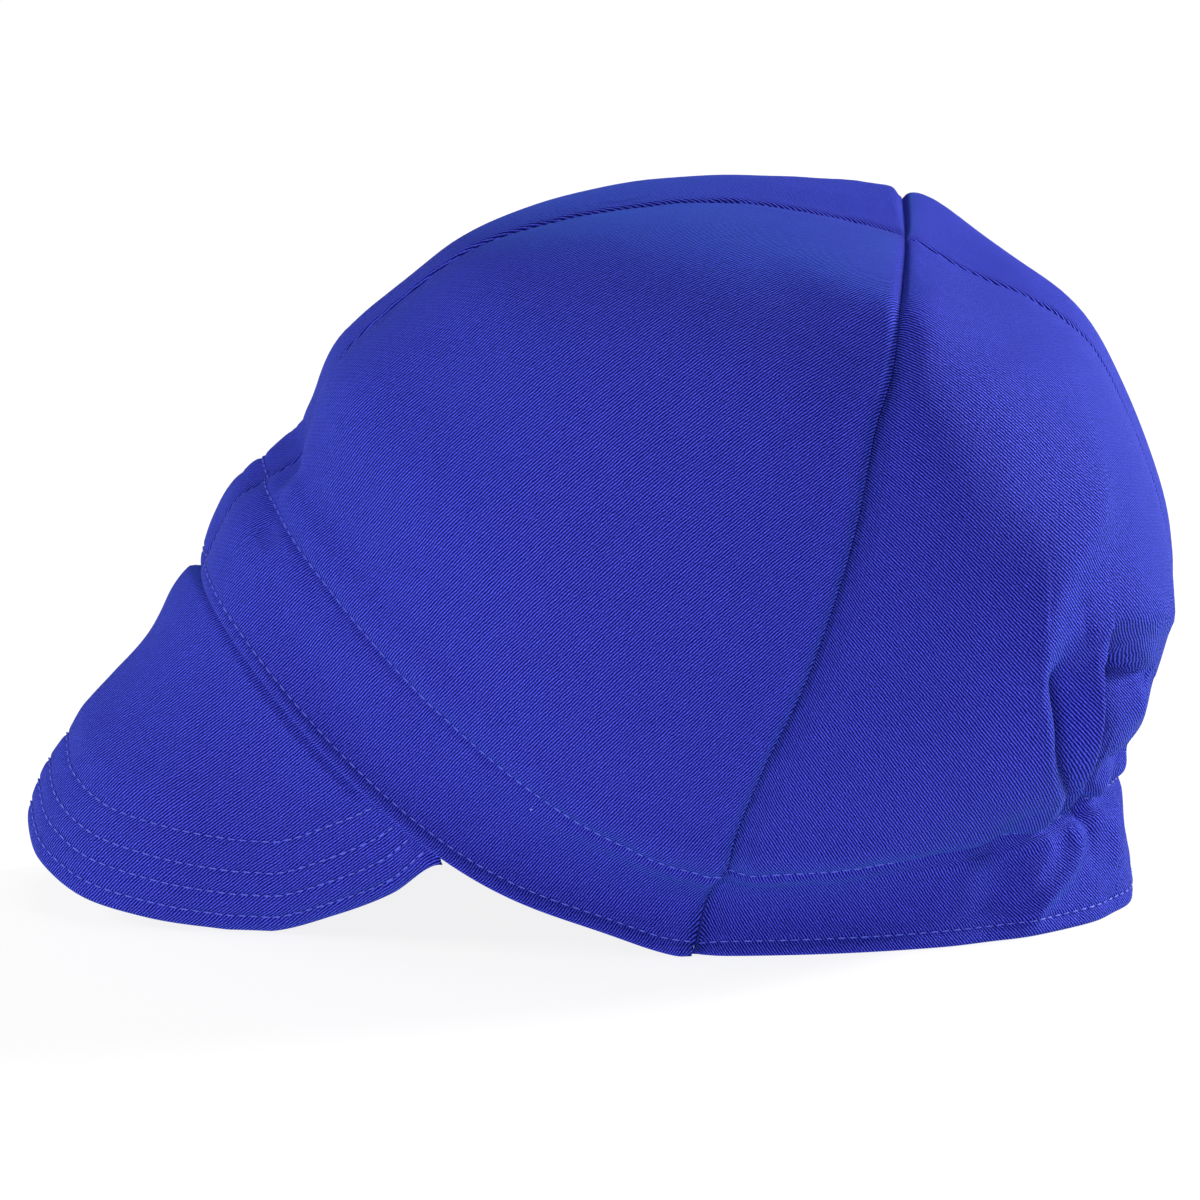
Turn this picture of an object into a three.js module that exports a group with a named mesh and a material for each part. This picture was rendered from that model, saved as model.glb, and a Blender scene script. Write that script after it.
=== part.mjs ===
// A welding cap as it lies on a table: a soft crown of four panels, a sweatband inside its lower edge
// and a short stitched peak. Millimetres. The cap faces -X, the wearer's left is -Y, and it lies on Z = 0.
import * as THREE from "three";

const { clamp, lerp, smoothstep } = THREE.MathUtils;

// Lower edge of the crown
const hemFront = 100; // centre front, ahead of the origin
const hemRise = 83; // height of the centre front above the table
const hemRear = 133; // centre back, behind the origin
const hemHalfWidth = 62; // at the foot of the side seams
const sideSeamFoot = 22.7; // foot of the side seams, behind the origin
const hemArch = 2.7; // how far the lower edge arches off the table ahead of the side seams

// Crown
const bandHeight = 29; // lower edge to the stitch line of the sweatband
const crownHeight = 180; // highest point of the centre seam above the table
const crownHalfWidth = 76.5; // at the fullest part of the side seams
const crownRear = 142.7; // fullest part of the centre back seam, behind the origin
const apexBack = 76.5; // where the four panels meet, behind the origin
const apexHeight = 170.5; // the same point above the table
const panelBulge = 2.5; // how far a panel swells between its seams
const gatherDepth = 2; // gathers of the lower edge at the back
const foldDepth = 4; // deepest dent or ridge in the cloth
const crownWall = 1.8;

// Peak
const peakForward = 43.5; // tip ahead of the crown's lower edge
const peakCamber = 5; // swell of the padded part
const peakWall = 2.4;
const peakTuck = 0.25; // height of the sewn-in margin, as a share of the band

// Sweatband
const sweatbandWall = 1.2;
const sweatbandLift = 0.125; // lower edge above the crown's, as a share of the band
const sweatbandTop = 0.875; // upper edge, as a share of the band
const sweatbandEase = 0.25; // share of the front panel over which it comes out to the crown past the peak

// Clearances between neighbouring pieces
const seamGap = 0.3;
const layerGap = 0.3;

// Facets
const frontColumns = 12;
const rearColumns = 20;
const rowsPerLevel = 2;
const foldSteps = 12;
const peakColumns = 32;
const peakMarginRows = 2;
const peakRows = 8;
const sweatbandRows = 6;

// Band of the crown from the lower edge (first row) to the stitch line (last row), as shares of the band's
// height from the lower edge: at the centre front, at the side seam and at the centre back
const bandTable = [
  { frontIn: 0.0, frontUp: 0.0, sideBack: 0.0, sideOut: 0.0, sideUp: 0.0, backOut: 0.0, backUp: 0.0 },
  { frontIn: 0.05, frontUp: 0.19, sideBack: 0.05, sideOut: -0.14, sideUp: 0.21, backOut: -0.02, backUp: 0.27 },
  { frontIn: 0.14, frontUp: 0.42, sideBack: 0.11, sideOut: -0.17, sideUp: 0.41, backOut: -0.09, backUp: 0.53 },
  { frontIn: 0.3, frontUp: 0.69, sideBack: 0.2, sideOut: -0.06, sideUp: 0.6, backOut: -0.12, backUp: 0.81 },
  { frontIn: 0.55, frontUp: 0.87, sideBack: 0.286, sideOut: 0.12, sideUp: 0.74, backOut: -0.16, backUp: 1.07 },
];

// Crown above the stitch line. front, side and back run from the stitch line (0) to the apex (1) along X;
// up runs from the stitch line to the crown's height (1); sideOut is a share of the crown's half width
const crownTable = [
  { front: 0.053, frontUp: 0.08, side: 0.071, sideOut: 0.915, sideUp: 0.082, back: 0.855, backUp: 0.074 },
  { front: 0.078, frontUp: 0.205, side: 0.225, sideOut: 0.967, sideUp: 0.196, back: 0.91, backUp: 0.167 },
  { front: 0.118, frontUp: 0.434, side: 0.44, sideOut: 0.993, sideUp: 0.331, back: 0.985, backUp: 0.288 },
  { front: 0.213, frontUp: 0.635, side: 0.615, sideOut: 1.0, sideUp: 0.477, back: 0.968, backUp: 0.435 },
  { front: 0.333, frontUp: 0.829, side: 0.736, sideOut: 0.98, sideUp: 0.604, back: 0.852, backUp: 0.599 },
  { front: 0.511, frontUp: 0.945, side: 0.824, sideOut: 0.928, sideUp: 0.737, back: 0.69, backUp: 0.746 },
  { front: 0.71, frontUp: 0.988, side: 0.923, sideOut: 0.835, sideUp: 0.83, back: 0.48, backUp: 0.822 },
  { front: 0.877, frontUp: 0.936, side: 0.967, sideOut: 0.64, sideUp: 0.928, back: 0.244, backUp: 0.87 },
];

// Section of the crown at each level, lower edge to apex: squareness of the plan towards the front and the
// back (2 is an ellipse), how fast the height falls away from the centre seam, and the share of the bulge
const sectionTable = [
  { frontSquare: 2.6, rearSquare: 2.4, fall: 1.86, bulge: 0.2 },
  { frontSquare: 2.6, rearSquare: 2.4, fall: 1.85, bulge: 0.3 },
  { frontSquare: 2.6, rearSquare: 2.4, fall: 1.75, bulge: 0.4 },
  { frontSquare: 2.6, rearSquare: 2.4, fall: 1.7, bulge: 0.4 },
  { frontSquare: 2.5, rearSquare: 2.3, fall: 1.6, bulge: 0.3 },
  { frontSquare: 2.5, rearSquare: 2.3, fall: 1.6, bulge: 0.5 },
  { frontSquare: 2.4, rearSquare: 2.3, fall: 1.6, bulge: 0.7 },
  { frontSquare: 2.4, rearSquare: 2.3, fall: 1.6, bulge: 0.85 },
  { frontSquare: 2.3, rearSquare: 2.3, fall: 1.6, bulge: 0.95 },
  { frontSquare: 2.3, rearSquare: 2.3, fall: 1.6, bulge: 1.0 },
  { frontSquare: 2.3, rearSquare: 2.15, fall: 1.6, bulge: 1.0 },
  { frontSquare: 2.3, rearSquare: 2.0, fall: 1.6, bulge: 1.0 },
  { frontSquare: 2.3, rearSquare: 2.0, fall: 1.6, bulge: 1.0 },
  { frontSquare: 2.0, rearSquare: 2.0, fall: 1.6, bulge: 0.0 },
];

// Outer edge of the peak in equal steps from its centre (first row) to its end (last row): forward and
// outward of the crown's lower edge as shares of peakForward, and lift off the table as a share of hemRise
const peakTable = [
  { forward: 1.0, outward: 0.0, lift: 0.224 },
  { forward: 0.919, outward: 0.159, lift: 0.152 },
  { forward: 0.715, outward: 0.234, lift: 0.075 },
  { forward: 0.453, outward: 0.218, lift: 0.033 },
  { forward: 0.207, outward: 0.08, lift: 0.006 },
  { forward: 0.024, outward: -0.055, lift: 0.0 },
  { forward: -0.076, outward: -0.122, lift: 0.063 },
  { forward: -0.08, outward: -0.136, lift: 0.146 },
  { forward: 0.007, outward: -0.048, lift: 0.265 },
];
const camberShape = 2.1; // 1 swells halfway down the peak, more swells nearer to its edge
const camberTurn = 0.6; // share of the half peak over which the swell turns from the front to the side
const peakEnd = 0.68; // where the peak ends on the front panel, from the centre front to the side seam

// Ridges (positive depth) and dents (negative) of the cloth. Each runs through three places, given as the
// share of the panel across, from the centre seam to the side seam, and the level up; width is a share of
// the band's height and depth a share of foldDepth
const frontFolds = [
  { from: [0.06, 6.3], middle: [0.22, 5.4], to: [0.28, 4.4], width: 0.22, depth: 0.6 },
  { from: [0.12, 4.5], middle: [0.26, 4.0], to: [0.4, 3.4], width: 0.22, depth: -0.6 },
];
const rearFolds = [
  { from: [0.28, 9.2], middle: [0.4, 7.4], to: [0.32, 5.0], width: 0.32, depth: 0.8 },
  { from: [0.1, 8.0], middle: [0.22, 7.0], to: [0.24, 5.2], width: 0.28, depth: -1.0 },
  { from: [0.18, 6.9], middle: [0.16, 6.0], to: [0.2, 5.0], width: 0.2, depth: 0.5 },
];
const rightFolds = 0.6; // how deep the folds of the wearer's right are beside those of the left
const foldEnd = 0.08; // share of a fold's run in which it fades at each end
const gathers = 5; // in the lower edge of each rear panel
const gatherLevels = { start: 0, full: 2, fade: 4.5, end: 7 };
const gatherSpan = { full: 0.35, end: 0.75 }; // share of the rear panel, from the centre back
const seamSpan = 0.3; // share of a panel, from each seam, that makes room for the gap of the seam
const bulgeShape = 3; // 2 is an even arch, more is flatter in the middle

const lastBandLevel = bandTable.length - 1;
const apexLevel = lastBandLevel + crownTable.length + 1;
const archPlace = 0.865; // top of the arch, as a share of the front panel from the centre seam to the side seam
const archNarrowness = 3; // more makes the arch shorter

// A smooth value of one column between a table's rows; mirrored carries the table on evenly before row 0
function columnAt(rows, column, place, mirrored = false) {
  const last = rows.length - 1;
  const lower = clamp(Math.floor(place), 0, last - 1);
  const share = place - lower;
  const valueOf = (index) => rows[clamp(mirrored ? Math.abs(index) : index, 0, last)][column];
  const startSlope = (valueOf(lower + 1) - valueOf(lower - 1)) / 2;
  const endSlope = (valueOf(lower + 2) - valueOf(lower)) / 2;
  const rise = valueOf(lower + 1) - valueOf(lower);
  const square = share * share;
  const cube = square * share;
  return (
    valueOf(lower) +
    startSlope * (cube - 2 * square + share) +
    endSlope * (cube - square) +
    rise * (3 * square - 2 * cube)
  );
}

// The three seam lines of one half of the crown, a row for each level from the lower edge to the apex
function seamRows() {
  const band = bandTable.map((row) => ({
    frontX: -hemFront + bandHeight * row.frontIn,
    frontZ: hemRise + bandHeight * row.frontUp,
    sideX: sideSeamFoot + bandHeight * row.sideBack,
    sideY: hemHalfWidth + bandHeight * row.sideOut,
    sideZ: bandHeight * row.sideUp,
    backX: hemRear + bandHeight * row.backOut,
    backZ: bandHeight * row.backUp,
  }));
  const stitch = band[lastBandLevel];
  const crown = crownTable.map((row) => ({
    frontX: lerp(stitch.frontX, apexBack, row.front),
    frontZ: lerp(stitch.frontZ, crownHeight, row.frontUp),
    sideX: lerp(stitch.sideX, apexBack, row.side),
    sideY: crownHalfWidth * row.sideOut,
    sideZ: lerp(stitch.sideZ, crownHeight, row.sideUp),
    backX: lerp(apexBack, crownRear, row.back),
    backZ: lerp(stitch.backZ, crownHeight, row.backUp),
  }));
  const apex = {
    frontX: apexBack,
    frontZ: apexHeight,
    sideX: apexBack,
    sideY: 0,
    sideZ: apexHeight,
    backX: apexBack,
    backZ: apexHeight,
  };
  return [...band, ...crown, apex];
}

const seams = seamRows();

// The arch of the front panel's lower edge, 0 at both seams and 1 at its top
function archShare(across) {
  const rise = archPlace / (1 - archPlace);
  return (((across / archPlace) ** rise * (1 - across)) / (1 - archPlace)) ** archNarrowness;
}

// A point of the plain crown. front and hand name the panel: hand is -1 on the wearer's left, 1 on the
// right. across runs from the centre seam (0) to the side seam (1), level from the lower edge to the apex
function crownPoint(front, hand, across, level) {
  const centreX = columnAt(seams, front ? "frontX" : "backX", level);
  const centreZ = columnAt(seams, front ? "frontZ" : "backZ", level);
  const sideX = columnAt(seams, "sideX", level);
  const sideY = columnAt(seams, "sideY", level);
  const sideZ = columnAt(seams, "sideZ", level);
  const square = columnAt(sectionTable, front ? "frontSquare" : "rearSquare", level);
  const fall = columnAt(sectionTable, "fall", level);
  const angle = (across * Math.PI) / 2;
  const along = Math.max(Math.cos(angle), 0);
  const aside = Math.max(Math.sin(angle), 0);
  const size = (along ** square + aside ** square) ** (1 / square);
  const arch = front ? hemArch * archShare(across) * Math.max(1 - level / lastBandLevel, 0) : 0;
  return new THREE.Vector3(
    sideX + ((centreX - sideX) * along) / size,
    (hand * sideY * aside) / size,
    sideZ + (centreZ - sideZ) * (along / size) ** fall + arch,
  );
}

// The direction out of the cloth, level with the table at the lower edge so that the edge lies flat
function outOfCrown(front, hand, across, level) {
  const nearApex = seams[apexLevel - 1];
  if (level >= apexLevel) {
    const slope = new THREE.Vector2(nearApex.backX - nearApex.frontX, nearApex.backZ - nearApex.frontZ);
    return new THREE.Vector3(-slope.y, 0, slope.x).normalize();
  }
  const step = 0.001; // short enough that the two points beside this one give its slopes
  const acrossLow = Math.max(across - step, 0);
  const acrossHigh = Math.min(across + step, 1);
  const levelLow = Math.max(level - step, 0);
  const sideways = crownPoint(front, hand, acrossHigh, level).sub(crownPoint(front, hand, acrossLow, level));
  const upwards = crownPoint(front, hand, across, level + step).sub(crownPoint(front, hand, across, levelLow));
  const out = sideways.cross(upwards).multiplyScalar(front ? -hand : hand).normalize();
  out.z *= smoothstep(level, 0, 1);
  return out.normalize();
}

// Height of a panel's folds over one point of the plain crown
function foldHeight(front, hand, point) {
  let height = 0;
  for (const fold of front ? frontFolds : rearFolds) {
    const stops = [fold.from, fold.middle, fold.to].map(([across, level]) =>
      crownPoint(front, hand, across, level),
    );
    const route = new THREE.CatmullRomCurve3(stops).getPoints(foldSteps);
    const distances = route.map((stop) => stop.distanceTo(point));
    const nearest = Math.min(...distances);
    const place = distances.indexOf(nearest) / foldSteps;
    const taper = Math.sin(Math.PI * clamp(place, foldEnd, 1 - foldEnd));
    height += foldDepth * fold.depth * taper * Math.exp(-((nearest / (bandHeight * fold.width)) ** 2));
  }
  return hand < 0 ? height : height * rightFolds;
}

// Height of the gathers that the sweatband draws up in a rear panel
function gatherHeight(across, level) {
  const up = smoothstep(level, gatherLevels.start, gatherLevels.full);
  const down = 1 - smoothstep(level, gatherLevels.fade, gatherLevels.end);
  const aside = 1 - smoothstep(across, gatherSpan.full, gatherSpan.end);
  return gatherDepth * up * down * aside * Math.sin(across * gathers * Math.PI) ** 2;
}

// A point of a finished panel, depth below its outer face
function panelPoint(panel, across, level, depth) {
  const { front, hand } = panel;
  const point = crownPoint(front, hand, across, level);
  const out = outOfCrown(front, hand, across, level);
  const swell = 1 - Math.abs(2 * across - 1) ** bulgeShape;
  const bulge = panelBulge * columnAt(sectionTable, "bulge", level);
  const gathered = front ? 0 : gatherHeight(across, level);
  const height = (bulge + foldHeight(front, hand, point)) * swell + gathered;
  point.addScaledVector(out, height - depth);
  const atApex = level >= apexLevel;
  const nearCentre = atApex ? 1 : 1 - smoothstep(across, 0, seamSpan);
  const nearSide = atApex ? 1 : smoothstep(across, 1 - seamSpan, 1);
  point.y += (hand * nearCentre * seamGap) / 2;
  point.x += ((front ? -1 : 1) * nearSide * seamGap) / 2;
  point.z = Math.max(point.z, 0);
  return point;
}

// A closed shell from two grids of points, outer and inner, of the same rows and columns. ring joins the
// last column to the first; peaked gathers the last row into one point
function shell(outer, inner, { ring = false, peaked = false } = {}) {
  const rows = outer.length;
  const columns = outer[0].length;
  const layer = rows * columns;
  const positions = [...outer.flat(), ...inner.flat()].flatMap((point) => [point.x, point.y, point.z]);
  const place = (side, row, column) => {
    const wrapped = ring ? column % columns : column;
    return side * layer + row * columns + (peaked && row === rows - 1 ? 0 : wrapped);
  };
  const triangles = [];
  const addQuad = (a, b, c, d) => {
    if (a !== b && b !== c && a !== c) triangles.push([a, b, c]);
    if (a !== c && c !== d && a !== d) triangles.push([a, c, d]);
  };
  const lastColumn = ring ? columns : columns - 1;
  for (let row = 0; row < rows - 1; row++) {
    for (let column = 0; column < lastColumn; column++) {
      const corners = [
        [row, column],
        [row, column + 1],
        [row + 1, column + 1],
        [row + 1, column],
      ];
      addQuad(...corners.map(([r, c]) => place(0, r, c)));
      addQuad(...corners.reverse().map(([r, c]) => place(1, r, c)));
    }
  }
  for (let column = 0; column < lastColumn; column++) {
    addQuad(place(0, 0, column + 1), place(0, 0, column), place(1, 0, column), place(1, 0, column + 1));
    if (!peaked) {
      const top = rows - 1;
      addQuad(place(0, top, column), place(0, top, column + 1), place(1, top, column + 1), place(1, top, column));
    }
  }
  if (!ring) {
    for (let row = 0; row < rows - 1; row++) {
      const end = columns - 1;
      addQuad(place(0, row, 0), place(0, row + 1, 0), place(1, row + 1, 0), place(1, row, 0));
      addQuad(place(0, row + 1, end), place(0, row, end), place(1, row, end), place(1, row + 1, end));
    }
  }
  return facingOut(positions, triangles);
}

// A geometry whose triangles all face outwards
function facingOut(positions, triangles) {
  const corner = (index) => new THREE.Vector3().fromArray(positions, index * 3);
  let volume = 0;
  for (const [a, b, c] of triangles) volume += corner(a).dot(corner(b).cross(corner(c))) / 6;
  const ordered = volume < 0 ? triangles.map(([a, b, c]) => [a, c, b]) : triangles;
  const geometry = new THREE.BufferGeometry();
  geometry.setAttribute("position", new THREE.Float32BufferAttribute(positions, 3));
  geometry.setIndex(ordered.flat());
  geometry.computeVertexNormals();
  return geometry;
}

// One of the four crown panels
function crownPanel(panel) {
  const columns = panel.front ? frontColumns : rearColumns;
  const rows = apexLevel * rowsPerLevel;
  const face = (depth) =>
    Array.from({ length: rows + 1 }, (_, row) =>
      Array.from({ length: columns + 1 }, (_, column) =>
        panelPoint(panel, column / columns, row / rowsPerLevel, depth),
      ),
    );
  return shell(face(0), face(crownWall), { peaked: true });
}

// A point at some depth behind the crown's outer face. around runs from the centre front (0) round the
// wearer's left (1 at the side seam), the centre back (2) and the wearer's right (3) to the front again (4)
function behindCrown(around, level, depth) {
  const hand = around <= 2 ? -1 : 1;
  const turn = around <= 2 ? around : 4 - around;
  const front = turn <= 1;
  const across = front ? turn : 2 - turn;
  const point = crownPoint(front, hand, across, level);
  return point.addScaledVector(outOfCrown(front, hand, across, level), -depth);
}

// The same on the crown's facets, so that what lies against them stays clear of them
function behindFacets(around, level, depth) {
  const columns = Math.min(around, 4 - around) <= 1 ? frontColumns : rearColumns;
  const column = Math.min(Math.floor(around * columns), 4 * columns - 1);
  const row = Math.floor(level * rowsPerLevel);
  const corner = (aside, up) => behindCrown((column + aside) / columns, (row + up) / rowsPerLevel, depth);
  const aside = around * columns - column;
  const low = corner(0, 0).lerp(corner(1, 0), aside);
  const high = corner(0, 1).lerp(corner(1, 1), aside);
  return low.lerp(high, level * rowsPerLevel - row);
}

// A row of points along the peak, from its left end (-1) through the centre front (0) to its right end (1)
const peakRow = (pointAt) =>
  Array.from({ length: peakColumns + 1 }, (_, column) => pointAt((2 * column) / peakColumns - 1));

// A place along the peak, counted round the crown from the centre front
const peakTurn = (along) => (along <= 0 ? -along * peakEnd : 4 - along * peakEnd);

// A point of the peak's outer face, out from the crown's lower edge (0) to the peak's edge (1)
function peakPoint(along, out) {
  const hand = along <= 0 ? -1 : 1;
  const fromCentre = Math.abs(along);
  const place = fromCentre * (peakTable.length - 1);
  const root = behindFacets(peakTurn(along), 0, crownWall + layerGap);
  const hem = behindFacets(peakTurn(along), 0, 0);
  const edge = new THREE.Vector3(
    hem.x - peakForward * columnAt(peakTable, "forward", place, true),
    hem.y + hand * peakForward * columnAt(peakTable, "outward", place, true),
    hemRise * Math.max(columnAt(peakTable, "lift", place, true), 0),
  );
  const down = edge.clone().sub(root).normalize();
  const ahead = new THREE.Vector3(down.z, 0, -down.x).normalize();
  const aside = new THREE.Vector3(0, hand, 0);
  const facing = ahead.lerp(aside, Math.min(fromCentre / camberTurn, 1)).normalize();
  const swell = peakCamber * Math.sin(Math.PI * out ** camberShape) * (1 - fromCentre ** 3);
  const point = root.lerp(edge, out).addScaledVector(facing, swell);
  point.z = Math.max(point.z, 0);
  return point;
}

// Directions out of a sheet given as a grid of points, one for each point
function sheetNormals(grid) {
  const columns = grid[0].length;
  const corners = [];
  for (let row = 0; row < grid.length - 1; row++) {
    for (let column = 0; column < columns - 1; column++) {
      const corner = row * columns + column;
      corners.push(corner, corner + 1, corner + columns, corner + 1, corner + columns + 1, corner + columns);
    }
  }
  const sheet = new THREE.BufferGeometry().setFromPoints(grid.flat());
  sheet.setIndex(corners);
  sheet.computeVertexNormals();
  const normals = sheet.getAttribute("normal");
  return grid.map((points, row) =>
    points.map((_, column) => new THREE.Vector3().fromBufferAttribute(normals, row * columns + column)),
  );
}

// The peak: a margin sewn in behind the crown's lower edge, then the stiff padded part down to its edge
function peak() {
  const outer = [];
  for (let row = 0; row < peakMarginRows; row++) {
    const level = peakTuck * lastBandLevel * (1 - row / peakMarginRows);
    outer.push(peakRow((along) => behindFacets(peakTurn(along), level, crownWall + layerGap)));
  }
  for (let row = 0; row <= peakRows; row++) {
    outer.push(peakRow((along) => peakPoint(along, row / peakRows)));
  }
  const normals = sheetNormals(outer);
  const inner = outer.map((points, row) =>
    points.map((point, column) => {
      const under = point.clone().addScaledVector(normals[row][column], -peakWall);
      under.z = Math.max(under.z, 0);
      return under;
    }),
  );
  return shell(outer, inner);
}

// Where a column of the sweatband stands, counted round the crown; its columns stand behind the crown's
function sweatbandTurn(column) {
  const half = frontColumns + rearColumns;
  const fromFront = Math.min(column, 2 * half - column);
  const inFront = Math.min(fromFront, frontColumns) / frontColumns;
  const inRear = Math.max(fromFront - frontColumns, 0) / rearColumns;
  return column <= half ? inFront + inRear : 4 - inFront - inRear;
}

// The sweatband, a ring behind the crown that leaves room for the peak's margin at the front
function sweatband() {
  const turns = 2 * (frontColumns + rearColumns);
  const face = (depth) =>
    Array.from({ length: sweatbandRows + 1 }, (_, row) =>
      Array.from({ length: turns }, (_, column) => {
        const around = sweatbandTurn(column);
        const fromFront = Math.min(around, 4 - around);
        const overPeak = 1 - smoothstep(fromFront, peakEnd, peakEnd + sweatbandEase);
        const level = lastBandLevel * lerp(sweatbandLift, sweatbandTop, row / sweatbandRows);
        const behind = crownWall + layerGap + overPeak * (peakWall + layerGap) + depth;
        return behindFacets(around, level, behind);
      }),
    );
  return shell(face(0), face(sweatbandWall), { ring: true });
}

// Blue cotton twill; the sweatband is the same cloth, more worn
const twill = { color: 0x2530b2, roughness: 0.85, metalness: 0 };
const bandCloth = { color: 0x1c2590, roughness: 0.9, metalness: 0 };

const panels = [
  { name: "crown_front_left", front: true, hand: -1 },
  { name: "crown_front_right", front: true, hand: 1 },
  { name: "crown_rear_left", front: false, hand: -1 },
  { name: "crown_rear_right", front: false, hand: 1 },
];

function piece(name, geometry, cloth) {
  const mesh = new THREE.Mesh(geometry, new THREE.MeshStandardMaterial(cloth));
  mesh.name = name;
  return mesh;
}

const cap = new THREE.Group();
for (const panel of panels) cap.add(piece(panel.name, crownPanel(panel), twill));
cap.add(piece("sweatband", sweatband(), bandCloth));
cap.add(piece("peak", peak(), twill));

export default cap;
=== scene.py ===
"""A welding cap of royal-blue twill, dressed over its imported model. Metres, +Z up, the cap faces -X."""

import math

import bpy
import numpy as np
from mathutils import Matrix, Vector, noise


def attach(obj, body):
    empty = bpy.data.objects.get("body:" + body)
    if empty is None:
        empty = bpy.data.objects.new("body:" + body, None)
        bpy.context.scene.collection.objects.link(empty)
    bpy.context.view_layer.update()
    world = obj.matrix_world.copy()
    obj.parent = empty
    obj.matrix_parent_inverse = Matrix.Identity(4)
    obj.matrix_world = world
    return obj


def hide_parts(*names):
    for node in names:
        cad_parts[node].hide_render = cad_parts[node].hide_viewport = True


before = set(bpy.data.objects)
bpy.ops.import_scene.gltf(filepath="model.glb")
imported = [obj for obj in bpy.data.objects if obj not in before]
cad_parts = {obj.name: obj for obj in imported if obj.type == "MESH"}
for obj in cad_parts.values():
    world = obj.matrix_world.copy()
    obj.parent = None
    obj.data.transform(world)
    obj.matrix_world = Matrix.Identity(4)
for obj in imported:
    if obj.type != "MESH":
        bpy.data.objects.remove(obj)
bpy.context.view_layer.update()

bl_info = {
    "name": "Welding Cap",
    "version": (1, 0, 0),
    "blender": (4, 5, 0),
    "location": "3D View > Sidebar > Cap",
    "description": "Sews a four-panel welding cap with a stitched peak over its packed model",
    "category": "Object",
}

MM = 0.001


def named(names, *rows):
    """A table as a dictionary of its named columns."""
    return dict(zip(names.split(), np.array(rows, float).T))


# Lower edge of the crown
HEM_FRONT = 0.1
HEM_RISE = 0.083
HEM_REAR = 0.133
HEM_HALF_WIDTH = 0.062
SIDE_SEAM_FOOT = 0.0227
HEM_ARCH = 0.0027
ARCH_PLACE = 0.865
ARCH_NARROWNESS = 3

# Crown
BAND_HEIGHT = 0.029
CROWN_HEIGHT = 0.18
CROWN_HALF_WIDTH = 0.0765
CROWN_REAR = 0.1427
APEX_BACK = 0.0765
APEX_HEIGHT = 0.1705
PANEL_BULGE = 0.0025
CROWN_WALL = 0.0018

# Peak
PEAK_FORWARD = 0.0435
PEAK_CAMBER = 0.005
PEAK_CAMBER_SHAPE = 2.1
PEAK_CAMBER_TURN = 0.6
PEAK_WALL = 0.0024
PEAK_TUCK = 0.25
PEAK_END = 0.68
LAYER_GAP = 0.0003

# Band from the lower edge to the stitch line, in shares of its height
BAND = named(
    "front_in front_up side_back side_out side_up back_out back_up",
    [0.0, 0.0, 0.0, 0.0, 0.0, 0.0, 0.0],
    [0.05, 0.19, 0.05, -0.14, 0.21, -0.02, 0.27],
    [0.14, 0.42, 0.11, -0.17, 0.41, -0.09, 0.53],
    [0.3, 0.69, 0.2, -0.06, 0.6, -0.12, 0.81],
    [0.55, 0.87, 0.286, 0.12, 0.74, -0.16, 1.07],
)

# Crown above the stitch line, in shares of the way to the apex, of the height and of the half width
CROWN = named(
    "front front_up side side_out side_up back back_up",
    [0.053, 0.08, 0.071, 0.915, 0.082, 0.855, 0.074],
    [0.078, 0.205, 0.225, 0.967, 0.196, 0.91, 0.167],
    [0.118, 0.434, 0.44, 0.993, 0.331, 0.985, 0.288],
    [0.213, 0.635, 0.615, 1.0, 0.477, 0.968, 0.435],
    [0.333, 0.829, 0.736, 0.98, 0.604, 0.852, 0.599],
    [0.511, 0.945, 0.824, 0.928, 0.737, 0.69, 0.746],
    [0.71, 0.988, 0.923, 0.835, 0.83, 0.48, 0.822],
    [0.877, 0.936, 0.967, 0.64, 0.928, 0.244, 0.87],
)

# Section of the crown at each level: squareness of the plan, fall from the centre seam, share of the bulge
SECTION = named(
    "front_square rear_square fall bulge",
    [2.6, 2.15, 1.86, 0.2],
    [2.6, 2.2, 1.85, 0.3],
    [2.6, 2.25, 1.75, 0.4],
    [2.6, 2.1, 1.7, 0.4],
    [2.5, 1.95, 1.6, 0.3],
    [2.5, 2.5, 1.6, 0.5],
    [2.4, 2.65, 1.6, 0.7],
    [2.4, 2.4, 1.6, 0.85],
    [2.3, 2.3, 1.6, 0.95],
    [2.3, 2.3, 1.6, 1.0],
    [2.3, 2.15, 1.6, 1.0],
    [2.3, 2.0, 1.6, 0.8],
    [2.3, 2.0, 1.6, 0.5],
    [2.0, 2.0, 1.6, 0.0],
)

# Outer edge of the peak from its centre to its end: shares of PEAK_FORWARD, and of HEM_RISE for the lift
PEAK_EDGE = named(
    "forward outward lift",
    [1.0, 0.0, 0.224],
    [0.95, 0.159, 0.152],
    [0.745, 0.234, 0.075],
    [0.453, 0.218, 0.033],
    [0.207, 0.08, 0.006],
    [0.024, -0.055, 0.0],
    [-0.076, -0.122, 0.063],
    [-0.08, -0.136, 0.146],
    [0.007, -0.048, 0.265],
)

STITCH_LEVEL = len(BAND["front_in"]) - 1
APEX_LEVEL = STITCH_LEVEL + len(CROWN["front"]) + 1

# Folds of the cloth, from top to bottom: places as (share across the panel from the centre seam, level), then
# the reach to the left and to the right of the fold on the wearer's left, and the height, in millimetres
FRONT_FOLDS = [
    [(0.1, 7.2), (0.125, 6.4), (0.17, 5.6), (0.2, 4.9), (0.215, 4.2), 5.0, 16.0, 2.4],
    [(0.06, 5.8), (0.1, 5.2), (0.13, 4.6), (0.16, 4.3), 4.0, 4.0, -1.2],
    [(0.17, 4.1), (0.235, 3.7), (0.25, 3.1), 4.2, 4.6, -1.8],
    [(0.24, 8.4), (0.26, 6.8), (0.32, 5.4), 11.0, 9.0, 0.9],
    [(0.3, 3.3), (0.42, 2.4), (0.55, 2.0), 5.0, 5.0, -0.8],
    [(0.5, 3.2), (0.62, 2.2), (0.78, 1.6), 9.0, 9.0, 1.0],
]
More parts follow.
